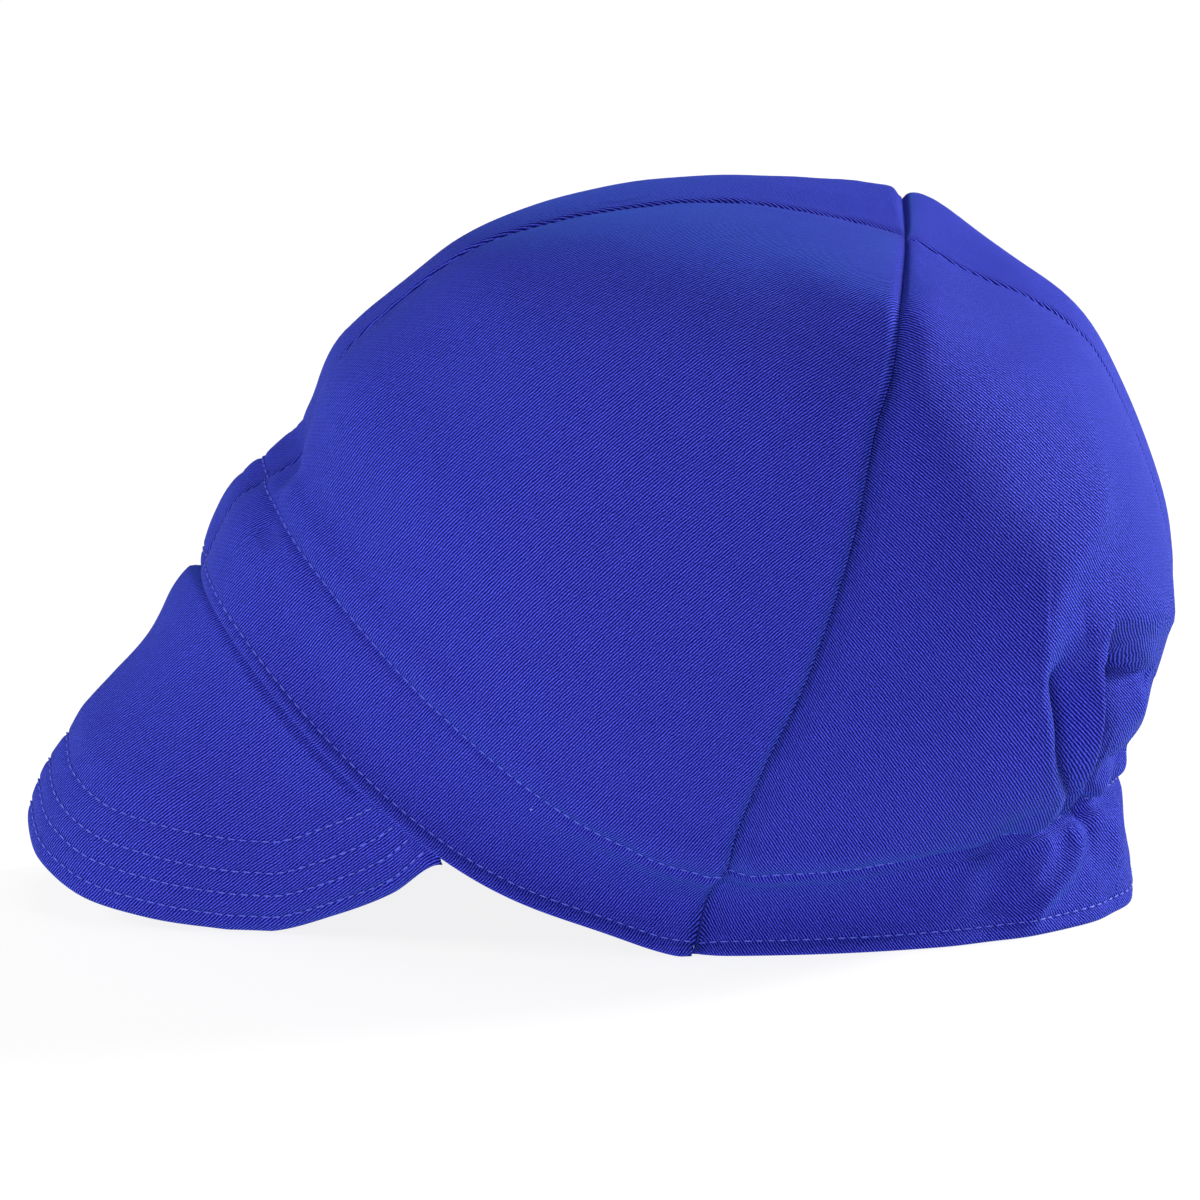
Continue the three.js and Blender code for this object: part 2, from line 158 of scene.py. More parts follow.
REAR_FOLDS = [
    [(0.4, 9.1), (0.45, 8.7), (0.57, 8.1), (0.6, 7.4), (0.598, 6.83), 12.0, 7.0, 4.2],
    [(0.602, 7.4), (0.597, 6.91), (0.568, 6.45), (0.525, 5.73), (0.458, 4.79), 10.0, 4.6, 5.0],
    [(0.58, 7.11), (0.56, 6.83), (0.53, 6.38), (0.487, 5.65), (0.363, 4.31), 2.4, 4.0, -6.0],
    [(0.457, 7.21), (0.463, 6.84), (0.447, 6.21), (0.428, 5.76), (0.375, 4.83), 5.0, 1.7, 5.0],
    [(0.44, 7.03), (0.437, 6.84), (0.43, 6.3), (0.413, 5.76), (0.377, 4.93), 1.5, 12.0, -10.0],
    [(0.503, 7.41), (0.423, 7.5), (0.353, 7.45), (0.247, 7.26), (0.148, 7.11), 4.0, 12.0, 3.8],
    [(0.432, 6.98), (0.362, 6.79), (0.282, 6.58), (0.207, 6.43), 7.0, 2.8, -5.0],
    [(0.272, 6.5), (0.243, 6.15), (0.223, 5.79), 4.0, 4.0, 2.0],
    [(0.3, 4.85), (0.24, 4.92), (0.15, 4.9), (0.02, 4.85), 4.0, 5.0, -4.0],
    [(0.395, 4.4), (0.41, 3.0), (0.49, 1.7), 4.0, 3.0, 1.8],
    [(0.315, 3.91), (0.34, 2.7), (0.43, 1.4), (0.47, 0.4), 4.0, 3.0, 3.8],
    [(0.375, 5.21), (0.295, 4.3), (0.275, 3.1), (0.295, 1.9), 1.6, 2.6, -1.4],
    [(0.225, 3.91), (0.19, 2.8), (0.2, 1.4), 4.5, 7.0, 3.2],
    [(0.475, 4.16), (0.48, 3.0), (0.52, 1.8), 4.0, 4.0, -0.9],
    [(0.56, 3.4), (0.6, 2.2), (0.7, 1.2), 7.0, 7.0, 1.2],
    [(0.645, 5.29), (0.732, 4.66), (0.862, 4.41), 7.0, 9.0, 0.8],
]
RIGHT_FOLDS = 0.55
FOLD_STEPS = 33
FOLD_FADE = 3.2
FOLD_TAPER = 0.7
FOLD_ROUNDNESS = 1.7
FOLD_EASE = 6.0 * MM

# Swellings that only the front panel on the wearer's right has, so that the centre seam shows from the left
FAR_SWELLINGS = [
    [(0.15, 5.5), (0.15, 4.9), (0.15, 4.3), (0.15, 3.8), (0.15, 3.3), 7.0, 9.0, 2.5],
    [(0.15, 3.4), (0.15, 2.6), (0.14, 1.6), (0.13, 0.8), (0.12, 0.0), 6.5, 9.0, 0.9],
]

# Gathers that the stitch line draws up at the back: share across the rear panel, half width and height in
# millimetres. Above and below the line they fade between two distances from it, and they widen.
GATHERS = named(
    "across width height",
    [0.03, 3.0, -0.9],
    [0.085, 2.8, 1.1],
    [0.145, 2.6, -1.2],
    [0.2, 2.8, 0.7],
    [0.385, 3.4, 0.9],
    [0.45, 3.0, -0.8],
    [0.52, 4.0, 0.6],
)
GATHERS_ABOVE = (3 * MM, 34 * MM)
GATHERS_BELOW = (2 * MM, 26 * MM)
GATHERS_WIDEN = 22 * MM
GATHERS_AT_LINE = 0.45

# The stitch line climbs at the back, inside these shares across the rear panel
STITCH_CLIMB = 2.4 * MM
CLIMB_FROM = 0.36
CLIMB_TO = 0.27

# Rolls and grooves beside the sewing, in millimetres: height, distance from the line, reach
RELIEF = {
    "seam groove": (-1.5, 0.0, 1.3),
    "rear seam valley": (-1.9, 0.0, 4.5),
    "front seam lip": (0.9, 3.0, 3.2),
    "seam pucker": (0.3, 3.5, 3.0),
    "centre dent": (-1.3, 0.0, 7.0),
    "stitch groove": (-1.1, 0.0, 1.15),
    "stitch overhang": (1.1, 6.0, 5.0),
    "stitch pucker": (0.42, 2.0, 3.0),
    "stitch dimple": (0.9, 5.0, 6.0),
    "hem roll": (0.3, 0.0, 1.4),
    "hem groove": (-0.4, 0.0, 0.7),
    "peak groove": (-0.45, 0.0, 0.9),
    "peak far swell": (3.4, 8.0, 11.0),
    "band groove": (-0.25, 3.0, 0.6),
}
DENT_LEVELS = (0.3, 2.0, 5.5, 8.5)
SEAMS_FADE = 2.5
FIELD_EASE = 7 * MM

# Swellings of the cloth, in millimetres: height and size. Puckers and dimples take their height from RELIEF.
SWELLINGS = {
    "crown broad": (0.5, 38),
    "crown fine": (0.16, 12),
    "peak broad": (0.35, 26),
    "peak fine": (0.14, 7),
    "band crease": (0.3, 9),
}
PUCKER_SIZE = 5.5 * MM
DIMPLE_SIZE = 15 * MM

# How far from a seam or edge the cloth is still held down: none of its height to all of it
HEM_HOLD = (-2 * MM, 6 * MM)
CENTRE_HOLD = (4 * MM, 22 * MM)
SEWN_HOLD = 3 * MM
EDGE_HOLD = 4 * MM
STITCH_AT_CENTRE = 0.15

# Sewing
HEM_TURN = 8.0 * MM
ALLOWANCE = 9.0 * MM
TURNED_CLOTH = 0.5 * MM
EDGE_ROUND = 1.1 * MM
CLEARANCE = 0.05 * MM
TOPSTITCH_UP = 4.2 * MM
THREAD_LIFT = 0.25 * MM
PEAK_ROWS = [5.0 * MM, 11.0 * MM, 17.0 * MM, 25.0 * MM]
SEWN_PADDING = 0.35 * MM
FREE_PADDING = 1.5 * MM
PADDING_RISE = 9 * MM
PEAK_SWELL_PLACE = 0.14
PEAK_SWELL_REACH = 0.28
STITCH_FREE = 1.6 * MM
ROOT_FREE = 3 * MM

# Grid of a panel: even columns, columns gathered along each seam, rows for each level
EVEN_COLUMNS = {"front": 215, "rear": 235}
SEAM_COLUMNS = np.array([0.0, 0.25, 0.5, 0.75, 1.0, 1.25, 1.55, 1.9, 2.4, 3.0]) * MM
SEWN_ROWS_PER_LEVEL = 15
FREE_ROWS_PER_LEVEL = 9
FREE_LEVEL = 6
ROLLED_LEVELS = [0.0, 0.008, 0.024, 0.045]

PANELS = {
    "crown_front_left": ("front", -1),
    "crown_front_right": ("front", 1),
    "crown_rear_left": ("rear", -1),
    "crown_rear_right": ("rear", 1),
}


def column_at(values, place, mirrored=False):
    """A smooth value between the rows of a table's column; mirrored carries it on evenly before row 0."""
    last = len(values) - 1
    place = np.asarray(place, float)
    lower = np.clip(np.floor(place), 0, last - 1).astype(int)
    share = place - lower
    if values.ndim > 1:
        share = share.reshape(share.shape + (1,) * (values.ndim - 1))

    def value_of(index):
        return values[np.clip(np.abs(index) if mirrored else index, 0, last)]

    start_slope = (value_of(lower + 1) - value_of(lower - 1)) / 2
    end_slope = (value_of(lower + 2) - value_of(lower)) / 2
    rise = value_of(lower + 1) - value_of(lower)
    square, cube = share**2, share**3
    return (
        value_of(lower)
        + start_slope * (cube - 2 * square + share)
        + end_slope * (cube - square)
        + rise * (3 * square - 2 * cube)
    )


def smooth_step(value, low, high):
    share = np.clip((value - low) / (high - low), 0, 1)
    return share * share * (3 - 2 * share)


def mix(start, end, share):
    return start + (end - start) * share


def bell(distance, reach):
    return np.exp(-((distance / reach) ** 2))


def relief(name, distance):
    """Height of a roll or groove at some distances from its line."""
    height, place, reach = RELIEF[name]
    return height * MM * bell(distance - place * MM, reach * MM)


def seam_lines():
    """The seam lines of one half of the crown, a value for each level from the lower edge to the apex."""
    band = {
        "front_x": -HEM_FRONT + BAND_HEIGHT * BAND["front_in"],
        "front_z": HEM_RISE + BAND_HEIGHT * BAND["front_up"],
        "side_x": SIDE_SEAM_FOOT + BAND_HEIGHT * BAND["side_back"],
        "side_y": HEM_HALF_WIDTH + BAND_HEIGHT * BAND["side_out"],
        "side_z": BAND_HEIGHT * BAND["side_up"],
        "back_x": HEM_REAR + BAND_HEIGHT * BAND["back_out"],
        "back_z": BAND_HEIGHT * BAND["back_up"],
    }
    foot = {name: line[-1] for name, line in band.items()}
    crown = {
        "front_x": mix(foot["front_x"], APEX_BACK, CROWN["front"]),
        "front_z": mix(foot["front_z"], CROWN_HEIGHT, CROWN["front_up"]),
        "side_x": mix(foot["side_x"], APEX_BACK, CROWN["side"]),
        "side_y": CROWN_HALF_WIDTH * CROWN["side_out"],
        "side_z": mix(foot["side_z"], CROWN_HEIGHT, CROWN["side_up"]),
        "back_x": mix(APEX_BACK, CROWN_REAR, CROWN["back"]),
        "back_z": mix(foot["back_z"], CROWN_HEIGHT, CROWN["back_up"]),
    }
    apex = {"x": APEX_BACK, "y": 0.0, "z": APEX_HEIGHT}
    return {name: np.array([*band[name], *crown[name], apex[name[-1]]]) for name in band}


SEAMS = seam_lines()


def arch_share(across):
    """The arch of the front panel's lower edge, 0 at both seams and 1 at its top."""
    rise = ARCH_PLACE / (1 - ARCH_PLACE)
    return ((across / ARCH_PLACE) ** rise * (1 - across) / (1 - ARCH_PLACE)) ** ARCH_NARROWNESS


def crown_point(part, hand, across, level):
    """Points of the plain crown. Hand is -1 on the wearer's left, and across runs from centre to side."""
    across, level = np.asarray(across, float), np.asarray(level, float)
    centre = "front" if part == "front" else "back"
    names = (centre + "_x", centre + "_z", "side_x", "side_y", "side_z")
    centre_x, centre_z, side_x, side_y, side_z = (column_at(SEAMS[name], level) for name in names)
    square = column_at(SECTION[part + "_square"], level)
    fall = column_at(SECTION["fall"], level)
    angle = across * math.pi / 2
    along = np.maximum(np.cos(angle), 0)
    aside = np.maximum(np.sin(angle), 0)
    size = (along**square + aside**square) ** (1 / square)
    x = side_x + (centre_x - side_x) * along / size
    y = hand * side_y * aside / size
    z = side_z + (centre_z - side_z) * (along / size) ** fall
    if part == "front":
        z = z + HEM_ARCH * arch_share(across) * np.maximum(1 - level / STITCH_LEVEL, 0)
    return np.stack(np.broadcast_arrays(x, y, z), axis=-1)


def unit(vectors):
    return vectors / np.maximum(np.linalg.norm(vectors, axis=-1, keepdims=True), 1e-12)


def out_of_grid(points):
    """Unit normals of a grid of points; rows run up and columns run across."""
    return unit(np.cross(np.gradient(points, axis=1), np.gradient(points, axis=0)))


def out_of_crown(part, hand, points, level):
    """Directions out of the cloth, level with the table at the lower edge so that the edge lies flat."""
    out = out_of_grid(points) * (-hand if part == "front" else hand)
    out[..., 2] *= smooth_step(level, 0, 1)
    front = crown_point("front", 1, 0.0, APEX_LEVEL - 1)
    back = crown_point("rear", 1, 0.0, APEX_LEVEL - 1)
    out[-1] = unit(np.array([front[2] - back[2], 0, back[0] - front[0]]))
    return unit(out)


def run_lengths(points, axis):
    """Length along a grid's rows (axis 1) or columns (axis 0), from the first point of each."""
    steps = np.linalg.norm(np.diff(points, axis=axis), axis=-1)
    return np.insert(np.cumsum(steps, axis=axis), 0, 0.0, axis=axis)


def fold_height(grid, folds):
    """Height of some folds over each point of a panel's grid."""
    points, out = grid.points, grid.out
    height = np.zeros(points.shape[:2])
    for *stops, left, right, rise in folds:
        stops = np.array(stops)
        route = column_at(stops, np.linspace(0, len(stops) - 1, FOLD_STEPS))
        line = crown_point(grid.part, grid.hand, route[:, 0], route[:, 1])
        spread = np.linalg.norm(points - line[:, None, None], axis=-1).min(axis=0)
        near = np.nonzero(spread < FOLD_FADE * max(left, right) * MM)
        offsets = points[near][:, None] - line
        distances = np.linalg.norm(offsets, axis=-1)
        nearest = distances.argmin(axis=-1)
        offset = offsets[np.arange(len(nearest)), nearest]
        aside = np.cross(unit(np.gradient(line, axis=0))[nearest], out[near]) * -grid.hand
        reach = np.where((aside * offset).sum(axis=-1) > 0, left, right) * MM
        taper = np.sin(math.pi * (nearest + 2) / (len(line) + 3)) ** FOLD_TAPER
        crest = np.exp(-((distances.min(axis=-1) / reach) ** FOLD_ROUNDNESS))
        height[near] += rise * MM * taper * crest
    return height


def cloth_noise(points, scale, seed):
    """Smooth noise over a grid of points, about -1 to 1; scale is the size of its swellings."""
    shift = Vector((seed * 7.31, seed * 3.17, seed * 5.71))
    flat = points.reshape(-1, 3)
    values = [noise.noise(Vector(point) / scale + shift) for point in flat]
    return np.array(values).reshape(points.shape[:-1])


def swelling(kind, points, seed):
    """Height of one kind of swelling over a grid of points."""
    height, size = SWELLINGS[kind]
    return height * MM * cloth_noise(points, size * MM, seed)


def panel_columns(part, hand):
    """Shares across a panel for its columns, gathered along both seams."""
    step = 0.001
    ends = crown_point(part, hand, np.array([0, step, 1 - step, 1]), (STITCH_LEVEL + APEX_LEVEL) / 2)
    speeds = np.linalg.norm(np.diff(ends, axis=0), axis=1)[[0, 2]] / step
    near_centre, near_side = SEAM_COLUMNS / speeds[0], SEAM_COLUMNS / speeds[1]
    even = np.linspace(near_centre[-1], 1 - near_side[-1], EVEN_COLUMNS[part])[1:-1]
    return np.concatenate([near_centre, even, 1 - near_side[::-1]])


def panel_levels():
    """Levels of a panel's rows, with a few more where the lower edge is rolled."""
    sewn_rows = np.arange(1, FREE_LEVEL * SEWN_ROWS_PER_LEVEL) / SEWN_ROWS_PER_LEVEL
    free_rows = np.linspace(FREE_LEVEL, APEX_LEVEL, (APEX_LEVEL - FREE_LEVEL) * FREE_ROWS_PER_LEVEL + 1)
    return np.concatenate([ROLLED_LEVELS, sewn_rows, free_rows])


class PanelGrid:
    """The plain surface of one crown panel as a grid, with the lengths along it that the sewing follows."""

    def __init__(self, part, hand):
        self.part, self.hand = part, hand
        self.across, self.level = np.meshgrid(panel_columns(part, hand), panel_levels())
        self.points = crown_point(part, hand, self.across, self.level)
        self.out = out_of_crown(part, hand, self.points, self.level)
        self.from_centre = run_lengths(self.points, 1)
        self.width = self.from_centre[:, -1:]
        self.from_side = self.width - self.from_centre
        self.from_seam = np.minimum(self.from_centre, self.from_side)
        self.from_hem = run_lengths(self.points, 0)
        stitch_row = np.argmin(np.abs(self.level[:, 0] - STITCH_LEVEL))
        self.past_stitch = self.from_hem - self.from_hem[stitch_row]
        if part == "rear":
            self.past_stitch -= STITCH_CLIMB * (1 - smooth_step(self.across, CLIMB_TO, CLIMB_FROM))
        self.in_field = smooth_step(self.from_seam, 0, FIELD_EASE)
        self.below_apex = 1 - smooth_step(self.level, APEX_LEVEL - SEAMS_FADE, APEX_LEVEL)


def gather_height(grid):
    """Height of the pleats that the stitch line draws up at the back."""
    height = np.zeros(grid.level.shape)
    above = 1 - smooth_step(grid.past_stitch, *GATHERS_ABOVE)
    below = 1 - 0.5 * smooth_step(-grid.past_stitch, *GATHERS_BELOW)
    reach = np.where(grid.past_stitch > 0, above, below)
    drawn = mix(GATHERS_AT_LINE, 1.0, smooth_step(np.abs(grid.past_stitch), 0, GATHERS_ABOVE[0]))
    spread = 1 + np.abs(grid.past_stitch) / GATHERS_WIDEN
    for across, width, rise in zip(*GATHERS.values()):
        distance = grid.from_centre - across * grid.width
        height += rise * MM * bell(distance, width * MM * spread)
    return height * reach * drawn


def cloth_height(grid):
    """How high the cloth of a panel stands off the plain crown."""
    front = grid.part == "front"
    swell = 1 - np.abs(2 * grid.across - 1) ** 3
    height = PANEL_BULGE * column_at(SECTION["bulge"], grid.level) * swell
    folds = fold_height(grid, FRONT_FOLDS if front else REAR_FOLDS)
    if grid.hand > 0:
        folds *= RIGHT_FOLDS
    if grid.hand > 0 and front:
        folds += fold_height(grid, FAR_SWELLINGS)
    height += folds * smooth_step(grid.from_seam, 0, FOLD_EASE) * smooth_step(grid.from_hem, *HEM_HOLD)
    if front:
        height += relief("front seam lip", grid.from_side) * grid.below_apex
        rise, top, fade, end = DENT_LEVELS
        dented = smooth_step(grid.level, rise, top) * (1 - smooth_step(grid.level, fade, end))
        height += relief("centre dent", grid.from_centre) * dented
    else:
        height += gather_height(grid) * smooth_step(grid.from_centre, 0, SEWN_HOLD)
        height += relief("rear seam valley", grid.from_side) * grid.below_apex
    off_centre = smooth_step(grid.from_centre, *CENTRE_HOLD)
    height += relief("stitch overhang", grid.past_stitch) * off_centre
    height += relief("stitch groove", grid.past_stitch) * mix(STITCH_AT_CENTRE, 1.0, off_centre)
    seed = 3 + grid.hand + (0 if front else 10)
    soft = swelling("crown broad", grid.points, seed) + swelling("crown fine", grid.points, seed + 1)
    height += soft * grid.in_field * smooth_step(grid.from_hem, 0, HEM_HOLD[1])
    from_stitch = np.abs(grid.past_stitch)
    puckered = relief("stitch pucker", from_stitch) * grid.in_field + relief("seam pucker", grid.from_seam)
    dimpled = relief("stitch dimple", from_stitch) * grid.in_field
    height += cloth_noise(grid.points, PUCKER_SIZE, seed + 2) * puckered
    height += cloth_noise(grid.points, DIMPLE_SIZE, seed + 3) * dimpled
    return height


def rounded(from_edge, radius):
    """How far a face draws in towards the middle of its wall beside a rolled edge."""
    short = np.clip(radius - from_edge, 0, radius)
    return radius - np.sqrt(np.maximum(radius**2 - short**2, 0))


def panel_faces(grid):
    """The outer and inner face of a panel, sewn, with its turned hem and seam allowances inside."""
    cloth = cloth_height(grid)
    roll = rounded(grid.from_hem, EDGE_ROUND)
    outer = cloth + relief("seam groove", grid.from_seam) - roll
    outer += relief("hem roll", grid.from_hem - TOPSTITCH_UP / 2)
    outer += relief("hem groove", grid.from_hem - TOPSTITCH_UP)
    allowance = 1 - smooth_step(grid.from_seam, ALLOWANCE - MM, ALLOWANCE)
    turning = 1 - smooth_step(grid.from_hem, HEM_TURN - MM, HEM_TURN)
    inner = cloth - CROWN_WALL - TURNED_CLOTH * np.maximum(allowance, turning) + roll
    faces = []
    for height in (outer, inner):
        face = grid.points + grid.out * height[..., None]
        face[..., 1] += grid.hand * CLEARANCE / 2 * (1 - smooth_step(grid.across, 0, 0.1))
        face[..., 0] += (-1 if grid.part == "front" else 1) * CLEARANCE / 2 * smooth_step(grid.across, 0.9, 1)
        face[..., 2] = np.maximum(face[..., 2], 0)
        faces.append(face)
    return faces


THREADS = [(0, 1), (1, 0), (1, 1), (1, -1)]
RELAX_ROUNDS = 1500
RELAX_SHARE = 0.12


def neighbours(grid, down, aside):
    """Two views of a grid, each point and its neighbour some rows down and some columns aside."""
    rows, columns = grid.shape[:2]
    first = grid[: rows - down, max(-aside, 0) : columns - max(aside, 0)]
    second = grid[down:, max(aside, 0) : columns - max(-aside, 0)]
    return first, second


def laid_flat(points, start):
    """A grid laid out flat from a first guess, so that its threads keep their lengths as far as they can."""
    rests = []
    for thread in THREADS:
        first, second = neighbours(points, *thread)
        rests.append(np.linalg.norm(second - first, axis=-1))
    flat = start.astype(float).copy()
    for _ in range(RELAX_ROUNDS):
        moves = np.zeros_like(flat)
        for thread, rest in zip(THREADS, rests):
            first, second = neighbours(flat, *thread)
            gap = second - first
            length = np.maximum(np.linalg.norm(gap, axis=-1), 1e-9)
            pull = gap * ((length - rest) / length)[..., None]
            first_move, second_move = neighbours(moves, *thread)
            first_move += pull
            second_move -= pull
        flat += moves * RELAX_SHARE
    return flat


def flat_size(flat):
    """Width, length and area of a grid that is laid flat."""
    a, b, c, d = flat[:-1, :-1], flat[:-1, 1:], flat[1:, 1:], flat[1:, :-1]
    across, up = c - a, d - b
    area = np.abs(across[..., 0] * up[..., 1] - across[..., 1] * up[..., 0]).sum() / 2
    width, length = np.ptp(flat[..., 0]), np.ptp(flat[..., 1])
    return float(width), float(length), float(area)


def as_seen(flat, seen):
    """A flat grid turned to lie like the same grid seen from the side."""
    laid, view = (grid[..., 0] + 1j * grid[..., 1] for grid in (flat, seen))
    laid, view = laid - laid.mean(), view - view.mean()
    together = laid * np.exp(1j * np.angle((np.conj(laid) * view).sum()))
    return np.stack([together.real, together.imag], axis=-1)


def turned(flat, angle):
    """A flat grid turned so that the twill's ribs, at this angle to its first axis, run along the U axis."""
    cos, sin = math.cos(angle), math.sin(angle)
    return flat @ np.array([[cos, -sin], [sin, cos]])


def refined(flat, row_places, column_places):
    """A coarse grid read at finer places along its rows and columns."""
    by_row = column_at(flat, row_places)
    return column_at(by_row.transpose(1, 0, 2), column_places).transpose(1, 0, 2)


# Angle of the twill's ribs on each part, as it looks from the wearer's left
RIB_ANGLE = {
    "front": math.radians(39),
    "rear": math.radians(-47),
    "peak": math.radians(-74),
    "sweatband": math.radians(45),
}


def panel_pattern(grid):
    """Cut of a panel: its flat width, length and area, and each grid point's place on it in millimetres."""
    columns, rows = 20, APEX_LEVEL * 2
    across, level = np.meshgrid(np.linspace(0, 1, columns + 1), np.linspace(0, APEX_LEVEL, rows + 1))
    points = crown_point(grid.part, grid.hand, across, level)
    lengths = run_lengths(points, 1)
    middle = columns // 2
    aside = (lengths - lengths[:, middle : middle + 1]) * (-grid.hand if grid.part == "front" else grid.hand)
    up = run_lengths(points, 0)[:, middle : middle + 1]
    flat = laid_flat(points, np.stack(np.broadcast_arrays(aside, up), axis=-1))
    flat = as_seen(flat, np.stack([points[..., 0] * -grid.hand, points[..., 2]], axis=-1))
    fine = refined(flat, grid.level[:, 0] * rows / APEX_LEVEL, grid.across[0] * columns)
    return flat_size(flat), turned(fine, RIB_ANGLE[grid.part] * -grid.hand) / MM


def placed(name, data):
    """A new object in the scene's collection."""
    item = bpy.data.objects.new(name, data)
    bpy.context.collection.objects.link(item)
    return item


def shell_mesh(name, outer, inner, pattern, ring=False, peaked=False):
    """A closed mesh object between two faces of one grid, with its cut pattern as UV map."""
    rows, columns = outer.shape[:2]
    index = np.arange(2 * rows * columns).reshape(2, rows, columns)
    if peaked:
        index[:, -1] = index[:, -1, :1]
    if ring:
        index = np.concatenate([index, index[:, :, :1]], axis=2)
    skins = [strip_faces(index[0, :-1], index[0, 1:]), strip_faces(index[1, 1:], index[1, :-1])]
    walls = [strip_faces(index[1, 0], index[0, 0])]
    if not peaked:
        walls.append(strip_faces(index[0, -1], index[1, -1]))
    if not ring:
        walls += [strip_faces(index[0, :, 0], index[1, :, 0]), strip_faces(index[1, :, -1], index[0, :, -1])]
    corners = np.concatenate(skins + walls)
    points = np.concatenate([outer.reshape(-1, 3), inner.reshape(-1, 3)])
    a, b, c = (points[corners[:, place]] for place in (0, 1, 2))
    if np.einsum("ij,ij->", a, np.cross(b, c)) < 0:
        corners = corners[:, ::-1]
    faces = [[*dict.fromkeys(face)] for face in corners.tolist()]
    mesh = bpy.data.meshes.new(name)
    mesh.from_pydata(points.tolist(), [], [face for face in faces if len(face) > 2])
    mesh.validate()
    laid = mesh.uv_layers.new(name="cut_pattern")
    vertex = np.empty(len(mesh.loops), int)
    mesh.loops.foreach_get("vertex_index", vertex)
    places = np.concatenate([pattern.reshape(-1, 2)] * 2)
    laid.data.foreach_set("uv", places[vertex].ravel())
    mesh.shade_smooth()
    return placed(name, mesh)


def strip_faces(low, high):
    """Faces between two runs of vertices, or between the rows of two grids of them."""
    corners = (low[..., :-1], low[..., 1:], high[..., 1:], high[..., :-1])
    return np.stack(corners, axis=-1).reshape(-1, 4)


def behind_crown(around, level, depth):
    """Points at some depth behind the plain crown, counted round it from the centre front (0) by the wearer's
    left (1 at the side seam), the centre back (2) and the right (3) to the front again (4)."""
    around, level, depth = np.broadcast_arrays(around, level, depth)
    points = np.zeros(around.shape + (3,))
    quarters = [("front", -1, 0), ("rear", -1, 1), ("rear", 1, 2), ("front", 1, 3)]
    for part, hand, start in quarters:
        here = np.clip(np.floor(around), 0, 3) == start
        turn = around[here] - start
        across = turn if (part, hand) in (("front", -1), ("rear", 1)) else 1 - turn
        step = 0.002
        low, high = np.maximum(across - step, 0), np.minimum(across + step, 1)
        foot = np.maximum(level[here] - step, 0)
        sideways = crown_point(part, hand, high, level[here]) - crown_point(part, hand, low, level[here])
        upwards = crown_point(part, hand, across, level[here] + step) - crown_point(part, hand, across, foot)
        out = unit(np.cross(sideways, upwards) * (-hand if part == "front" else hand))
        out[:, 2] *= smooth_step(level[here], 0, 1)
        points[here] = crown_point(part, hand, across, level[here]) - unit(out) * depth[here][:, None]
    return points


# Grid of the peak and of the sweatband
PEAK_COLUMNS = 260
PEAK_ROWS_OUT = 110
PEAK_ROWS_TUCKED = 8
SWEATBAND_COLUMNS = 480
SWEATBAND_ROWS = 26
PEAK_DEPTH = CROWN_WALL + LAYER_GAP + TURNED_CLOTH
SWEATBAND_WALL = 0.0012
SWEATBAND_GAP = 0.4 * MM
SWEATBAND_CLEARANCE = 0.2 * MM
SWEATBAND_LIFT = 0.125
SWEATBAND_TOP = 0.875
SWEATBAND_EASE = 0.25


def peak_points():
    """The peak's plain outer face: rows from the tucked-in margin to its edge, columns from end to end."""
    along = np.linspace(-1, 1, PEAK_COLUMNS + 1)
    hand = np.where(along <= 0, -1, 1)
    from_centre = np.abs(along)
    around = np.where(along <= 0, from_centre * PEAK_END, 4 - from_centre * PEAK_END)
    root = behind_crown(around, 0.0, PEAK_DEPTH)
    hem = behind_crown(around, 0.0, 0.0)
    place = from_centre * (len(PEAK_EDGE["lift"]) - 1)
    forward, outward, lift = (column_at(PEAK_EDGE[name], place, True) for name in PEAK_EDGE)
    x, y = hem[:, 0] - PEAK_FORWARD * forward, hem[:, 1] + hand * PEAK_FORWARD * outward
    edge = np.stack([x, y, HEM_RISE * np.maximum(lift, 0)], axis=-1)
    down = unit(edge - root)
    ahead = unit(down[:, [2, 1, 0]] * (1, 0, -1))
    aside = np.outer(hand, (0.0, 1.0, 0.0))
    share = np.minimum(from_centre / PEAK_CAMBER_TURN, 1)[:, None]
    facing = unit(mix(ahead, aside, share))
    rows = []
    for tucked in np.arange(PEAK_ROWS_TUCKED):
        level = PEAK_TUCK * STITCH_LEVEL * (1 - tucked / PEAK_ROWS_TUCKED)
        rows.append(behind_crown(around, level, PEAK_DEPTH))
    for out in np.linspace(0, 1, PEAK_ROWS_OUT + 1):
        swell = PEAK_CAMBER * math.sin(math.pi * out**PEAK_CAMBER_SHAPE) * (1 - from_centre**3)
        rows.append(mix(root, edge, out) + facing * swell[:, None])
    return np.array(rows)


def peak_faces(points):
    """The outer and inner face of the peak, padded between its rows of stitching."""
    out = out_of_grid(points)
    if out[-PEAK_ROWS_OUT // 2, PEAK_COLUMNS // 2, 0] > 0:
        out = -out
    from_top = run_lengths(points, 0)
    from_edge = from_top[-1] - from_top
    padding = SEWN_PADDING * smooth_step(from_edge, 0, SEWN_HOLD)
    padding += FREE_PADDING * smooth_step(from_edge, PEAK_ROWS[-1], PEAK_ROWS[-1] + PADDING_RISE)
    for row in PEAK_ROWS:
        padding += relief("peak groove", from_edge - row)
    along = np.linspace(-1, 1, PEAK_COLUMNS + 1)
    from_root = from_top - from_top[PEAK_ROWS_TUCKED]
    padding += relief("peak far swell", from_root) * bell(along - PEAK_SWELL_PLACE, PEAK_SWELL_REACH)
    shown = smooth_step(from_root, 0, EDGE_HOLD)
    soft = swelling("peak broad", points, 40) + swelling("peak fine", points, 41)
    roll = rounded(from_edge, EDGE_ROUND)
    height = (padding + soft * smooth_step(from_edge, 0, EDGE_HOLD)) * shown - roll
    depth = -PEAK_WALL + roll
    faces = [points + out * height[..., None], points + out * depth[..., None]]
    for face in faces:
        face[..., 2] = np.maximum(face[..., 2], 0)
    return faces, from_edge


